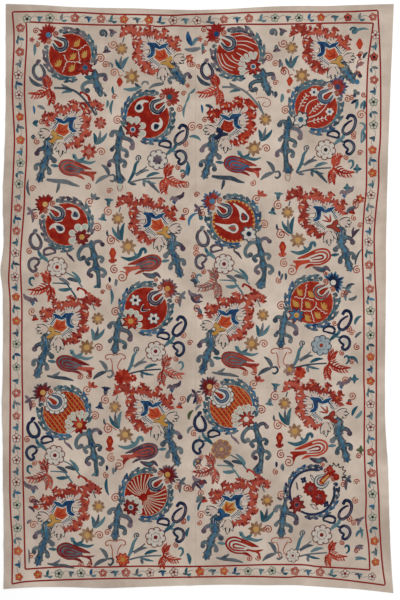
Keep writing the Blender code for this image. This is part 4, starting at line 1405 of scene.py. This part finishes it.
LEAVES = (
    ("blue", (192.5, 46, 188, 31, 5.4, 0.1)), ("slate", (201, 48, 184, 49, 4.8, 0.08)),
    ("teal", (193, 46, 201, 38, 4, 0.2), (107.4, 99.6, 106.4, 108, 2.8, 0.1),
     (113, 100, 111.6, 115, 3, -0.1), (114, 95, 113, 86, 2.8, 0.1), (33, 125, 39, 121, 4.6, 0.1),
     (33, 123, 37.4, 127, 3.4, 0.1)), ("slate", (30.6, 137, 36, 137, 3.6, 0),
     (33.4, 134.4, 33.4, 139.8, 3.4, 0), (29.8, 196, 28.6, 179, 2.8, 0.1)),
    ("blue", (187.6, 176, 187.6, 163, 3, 0.05)), ("teal", (195, 88, 189, 94, 2.6, 0.1),
     (189, 93, 185, 104, 2.6, 0.1), (186.5, 103, 184, 118, 2.6, -0.1), (189, 137, 201, 141, 3.4, 0.2),
     (187, 161, 188, 176, 3.4, 0.08)), ("blue", (189, 226, 199, 213, 3.2, 0.25)),
    ("slate", (190, 280, 198, 284, 3.6, 0.1), (193, 277, 195, 288, 3.2, 0.1)),
    ("violet", (191, 294, 203, 301, 4, -0.3)), ("teal", (194, 308, 202, 315, 3.2, 0.2)),
    ("slate", (188, 403, 192, 393, 3.4, 0.1)), ("navy", (193, 404, 196, 394, 3.2, -0.1)),
    ("slate", (196, 411, 202, 405, 3, 0.2)), ("green", (189, 420, 194, 410, 3.6, 0.2)),
    ("slate", (188, 434, 194, 426, 3.2, 0.2)), ("teal", (194, 443, 200, 435, 3.2, -0.2)),
    ("violet", (193, 491, 200, 480, 3.8, 0.2), (194, 483, 201, 490, 3.2, 0.1)),
    ("teal", (198, 503, 203, 494, 3.4, 0.2)), ("green", (200, 496, 205, 501, 2.8, 0.1)),
    ("teal", (352, 34, 369, 29.6, 2.8, 0.15)), ("slate", (363, 59, 368, 52, 3, 0.1)),
    ("violet", (356, 69, 365, 63, 3.4, 0.2)), ("slate", (353, 94, 360, 92, 3.4, 0)),
    ("navy", (351, 104, 359, 100, 3.2, 0.1)), ("teal", (361, 109, 367, 101, 3.2, 0.2),
     (363, 131, 361, 143, 3, 0.2), (353, 169, 362, 169, 4.2, 0), (357, 164, 357, 174, 3.8, 0),
     (343, 188, 352, 188, 4, 0), (347, 183, 347, 193, 3.6, 0)), ("slate", (347, 214, 357, 208, 3.8, 0.25)),
    ("violet", (352, 238, 360, 229, 3.6, 0.1), (353, 236, 354, 227, 2.8, 0.1)),
    ("slate", (355, 265, 362, 249, 2.4, 0.1), (346, 290, 355, 284, 3.4, 0.2),
     (348, 299, 357, 295, 3.6, -0.2)), ("teal", (355, 325, 362, 316, 3.6, 0.2)),
    ("slate", (355, 338, 362, 332, 3, 0.1)), ("teal", (347, 358, 358, 364, 3.6, 0.25),
     (350, 379, 359, 379, 4, 0), (354.4, 374, 354.4, 384, 3.6, 0), (352, 416, 358, 406, 3.6, 0.1),
     (355, 418, 362, 410, 3.4, -0.1)), ("green", (356, 450, 365, 450, 4, 0),
     (360.7, 445, 360.7, 455, 3.6, 0)), ("violet", (358, 526, 365, 517, 3.6, 0.2)),
    ("teal", (356, 537, 364, 530, 3.4, 0.2)), ("violet", (355, 550, 364, 546, 3.6, 0.2)),
    ("teal", (355, 560, 367, 559, 2.6, 0.1), (356.5, 99, 355.3, 109.5, 3.5, 0.1),
     (364, 100, 363, 110.7, 3, 0.1)), ("slate", (275, 91, 275, 98, 4, 0.1)),
    ("teal", (282, 93.5, 280.7, 102.7, 4, 0.1)), ("slate", (279.5, 59, 279, 68, 3.5, 0.1)),
    ("teal", (110.7, 288.7, 110.7, 304.8, 3.4, 0.1), (107, 478, 109, 495.6, 3.4, -0.1),
     (186.6, 537, 189.4, 527, 3.4, 0.1), (187, 553, 189.6, 564.6, 4.2, 0.1)),
    ("blue", (188.4, 515, 188.4, 521.6, 3.4, 0)), ("violet", (29, 502, 40, 503.4, 3.6, 0.2),
     (28, 506.6, 34, 512.8, 3.2, 0.2), (27, 524, 32, 519.6, 3.2, 0.1)),
    ("slate", (28.4, 549, 28.8, 564, 2.2, 0.05), (196, 502.4, 204.4, 497.6, 4.4, 0.1)),
    ("teal", (198, 511, 202.6, 500, 2.6, 0.1), (284.6, 485.4, 284.4, 496, 2.8, 0)),
    ("slate", (276.6, 497.4, 282, 500.6, 2.8, 0.1)), ("violet", (354.6, 520.6, 361, 520.6, 3.6, 0.1)),
    ("teal", (359.6, 526.6, 361.6, 538.4, 3.2, 0.1), (354.6, 557.6, 366.6, 560.4, 2.6, 0.1)),
    ("violet", (355, 547, 363.4, 549, 4.2, 0.1)),
)
for silk, *leaves in LEAVES:
    for across, down, tip_across, tip_down, width, bow in leaves:
        whole.leaf(silk, at(across, down), at(tip_across, tip_down), width, bow)

FLOWERS = (
    (189.5, 59, "brick", "yellow", 4.4, 5), (360, 199, "brick", "yellow", 4.8, 6),
    (122.7, 559.7, "frame_red", "yellow", 7.6, 8), (198, 461, "violet", "yellow", 4.2, 6),
)
for across, down, silk, heart, reach, count in FLOWERS:
    spot = at(across, down)
    whole.petals(silk, spot, around(count, 20), 0.6, reach, reach * 0.62, 1)
    whole.ball(heart, spot, reach * 0.3, 3)
whole.petals("orange", at(122.7, 559.7), around(8, 20), 1.6, 6.2, 2.6, 2)
white_flower(whole.inside(at(292.7, 555.5), size=0.68), "white", "border_red", "border_red")
whole.line("vermilion", [at(359.7, 38.5), at(359.7, 43.5), at(359.7, 49.5)], [1, 7.6, 1.5], 1)
whole.curl(at(354, 31), 4.2, 180, -1.3, 2.4, "teal")
whole.line("teal", [at(359, 123), at(363.6, 124), at(365, 127.6), at(362, 132.5), at(361, 144)],
           [1, 2.4, 3, 3, 1])
for places in (
    ((255.6, 98.6), (262, 97.4), (269, 99.6), (270.4, 104.4), (266, 107), (262.4, 104.6), (265.2, 102)),
    ((247, 92), (252, 88), (256.4, 90.6), (256, 95)),
    ((284.6, 167.8), (288.4, 163.4), (292, 167.2), (290.6, 174.4), (286.6, 175), (284.6, 167.8)),
):
    whole.line("curl", [at(*place) for place in places], 1, tone=0.7)
for spot in (at(355, 91), at(358, 93.4), at(354.6, 95.6)):
    whole.ball("slate", spot, 1.9, 1)
whole.ball("blue", at(357, 82), 2.6, 1)
whole.ball("teal", at(201, 218), 2.4, 1)

# The silk pieces
# All the silk of one colour is one piece. It was dyed by hand in small lots, so each colour runs
# from deep to faded across the cloth, and the laid threads catch the light along their length.
laid, laid_out = new_group("laid silk", (("Fade", "NodeSocketFloat"), ("Height", "NodeSocketFloat")))
PATCHINESS = 1.6
COUCHING = 0.6  # the relief of the small stitches, against that of the floss they hold
place = add_node(laid, "ShaderNodeTexCoord")
lot = add_node(laid, "ShaderNodeAttribute", attribute_name="tone")
patchy = add_node(laid, "ShaderNodeTexNoise", Scale=34.0, Detail=3.0, Roughness=0.6)
join(laid, place, "Object", patchy, "Vector")
centred = add_node(laid, "ShaderNodeMath", operation="MULTIPLY_ADD")
centred.inputs[1].default_value = PATCHINESS
centred.inputs[2].default_value = -PATCHINESS / 2
join(laid, patchy, "Fac", centred, 0)
total = add_node(laid, "ShaderNodeMath", operation="ADD", use_clamp=True)
join(laid, centred, "Value", total, 0)
join(laid, lot, "Fac", total, 1)
join(laid, total, "Value", laid_out, "Fade")
surface = add_node(laid, "ShaderNodeUVMap", uv_map="stitches")
floss = add_node(laid, "ShaderNodeTexWave", wave_type="BANDS", bands_direction="X", Scale=90.0,
                 Distortion=1.5, Detail=2.0)
join(laid, surface, "UV", floss, "Vector")
couching = add_node(laid, "ShaderNodeTexWave", wave_type="BANDS", bands_direction="DIAGONAL", Scale=45.0)
join(laid, surface, "UV", couching, "Vector")
relief = add_node(laid, "ShaderNodeMath", operation="MULTIPLY_ADD")
relief.inputs[1].default_value = COUCHING
join(laid, couching, "Fac", relief, 0)
join(laid, floss, "Fac", relief, 2)
join(laid, relief, "Value", laid_out, "Height")

SILKS = {
    "vermilion": ((124, 18, 8), (168, 60, 38)),
    "brick": ((120, 32, 24), (168, 80, 64)),
    "orange": ((168, 68, 34), (184, 104, 66)),
    "yellow": ((168, 120, 54), (184, 148, 96)),
    "navy": ((12, 24, 50), (52, 60, 84)),
    "blue": ((16, 54, 92), (66, 110, 136)),
    "teal": ((28, 70, 84), (86, 114, 120)),
    "slate": ((46, 58, 70), (104, 108, 110)),
    "violet": ((58, 46, 60), (112, 98, 104)),
    "mauve": ((112, 76, 72), (142, 112, 102)),
    "taupe": ((120, 84, 58), (150, 118, 92)),
    "white": ((196, 188, 177), (174, 165, 154)),
    "cream": ((192, 172, 160), (180, 160, 148)),
    "celadon": ((158, 162, 148), (176, 172, 158)),
    "ice": ((122, 136, 142), (160, 166, 166)),
    "pink": ((152, 78, 68), (170, 118, 104)),
    "green": ((56, 66, 44), (102, 106, 82)),
    "black": ((24, 18, 22), (52, 44, 44)),
    "border_red": ((92, 14, 16), (124, 44, 40)),
    "frame_red": ((122, 20, 18), (146, 52, 44)),
    "curl": ((128, 48, 32), (158, 92, 70)),
}
for colour, (deep, faded) in SILKS.items():
    stitches = worked_silk[colour]
    material, worked, shader = thread_material(f"{colour} silk", laid, 0.6, 0.05, 0.3, 0.4 * MM)
    mix = add_node(material.node_tree, "ShaderNodeMix", data_type="RGBA")
    mix.inputs[6].default_value = display_colour(*deep)
    mix.inputs[7].default_value = display_colour(*faded)
    join(material.node_tree, worked, "Fade", mix, 0)
    join(material.node_tree, mix, 2, shader, "Base Color")
    points = np.concatenate(stitches["points"])
    points[:, 2] += cloth_lift(points[:, 0], points[:, 1]) + CLOTH_THICKNESS
    faces = np.concatenate(stitches["faces"])
    piece = make_mesh(f"silk_{colour}", points, faces, material)
    uv = np.concatenate(stitches["uv"])[faces.ravel()] * SQUARE
    layer = piece.data.uv_layers.new(name="stitches")
    layer.data.foreach_set("uv", np.stack((uv.real, uv.imag), -1).astype(np.float32).ravel())
    tone = piece.data.attributes.new("tone", "FLOAT", "POINT")
    tone.data.foreach_set("value", np.concatenate(stitches["tone"]))
    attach(piece, "root")
    print(colour, len(faces) * 2, "triangles")

# The floor
# A plain white floor just under the cloth.
FLOOR_SIZE = 9.0
FLOOR_WHITE = 0.9
bpy.ops.mesh.primitive_plane_add(size=FLOOR_SIZE, location=(0.0, 0.0, -0.5 * MM))
floor = bpy.context.object
floor.name = "floor"
white_floor = bpy.data.materials.new("white floor")
white_floor.use_nodes = True
shader = white_floor.node_tree.nodes["Principled BSDF"]
shader.inputs["Base Color"].default_value = (FLOOR_WHITE, FLOOR_WHITE, FLOOR_WHITE, 1.0)
shader.inputs["Roughness"].default_value = 0.9
floor.data.materials.append(white_floor)

# The light
# A soft white room with one large lamp high on the right.
ROOM_LIGHT = 0.75
LAMP_WATTS = 165
LAMP_SIZE = 1.6
LAMP_PLACE = (1.9, 1.0, 5.2)
LAMP_TILT = (-11, 20, 0)
world = bpy.data.worlds.new("studio")
bpy.context.scene.world = world
world.use_nodes = True
sky = world.node_tree.nodes["Background"]
sky.inputs["Color"].default_value = (1.0, 1.0, 1.0, 1.0)
sky.inputs["Strength"].default_value = ROOM_LIGHT
lamp_data = bpy.data.lights.new("lamp", "AREA")
lamp_data.shape = "SQUARE"
lamp_data.size = LAMP_SIZE
lamp_data.energy = LAMP_WATTS
lamp = bpy.data.objects.new("lamp", lamp_data)
lamp.location = LAMP_PLACE
lamp.rotation_euler = [math.radians(turn) for turn in LAMP_TILT]
bpy.context.scene.collection.objects.link(lamp)

# The camera
# A long lens that looks straight down on the middle of the cloth, from six metres up.
CAMERA_PLACE = (0.010, -0.006, 6.0)
camera_data = bpy.data.cameras.new("camera")
camera_data.sensor_width = 36
camera_data.lens = 90
camera = bpy.data.objects.new("camera", camera_data)
camera.location = CAMERA_PLACE
bpy.context.scene.collection.objects.link(camera)
bpy.context.scene.camera = camera
bpy.context.scene.view_settings.view_transform = "Standard"
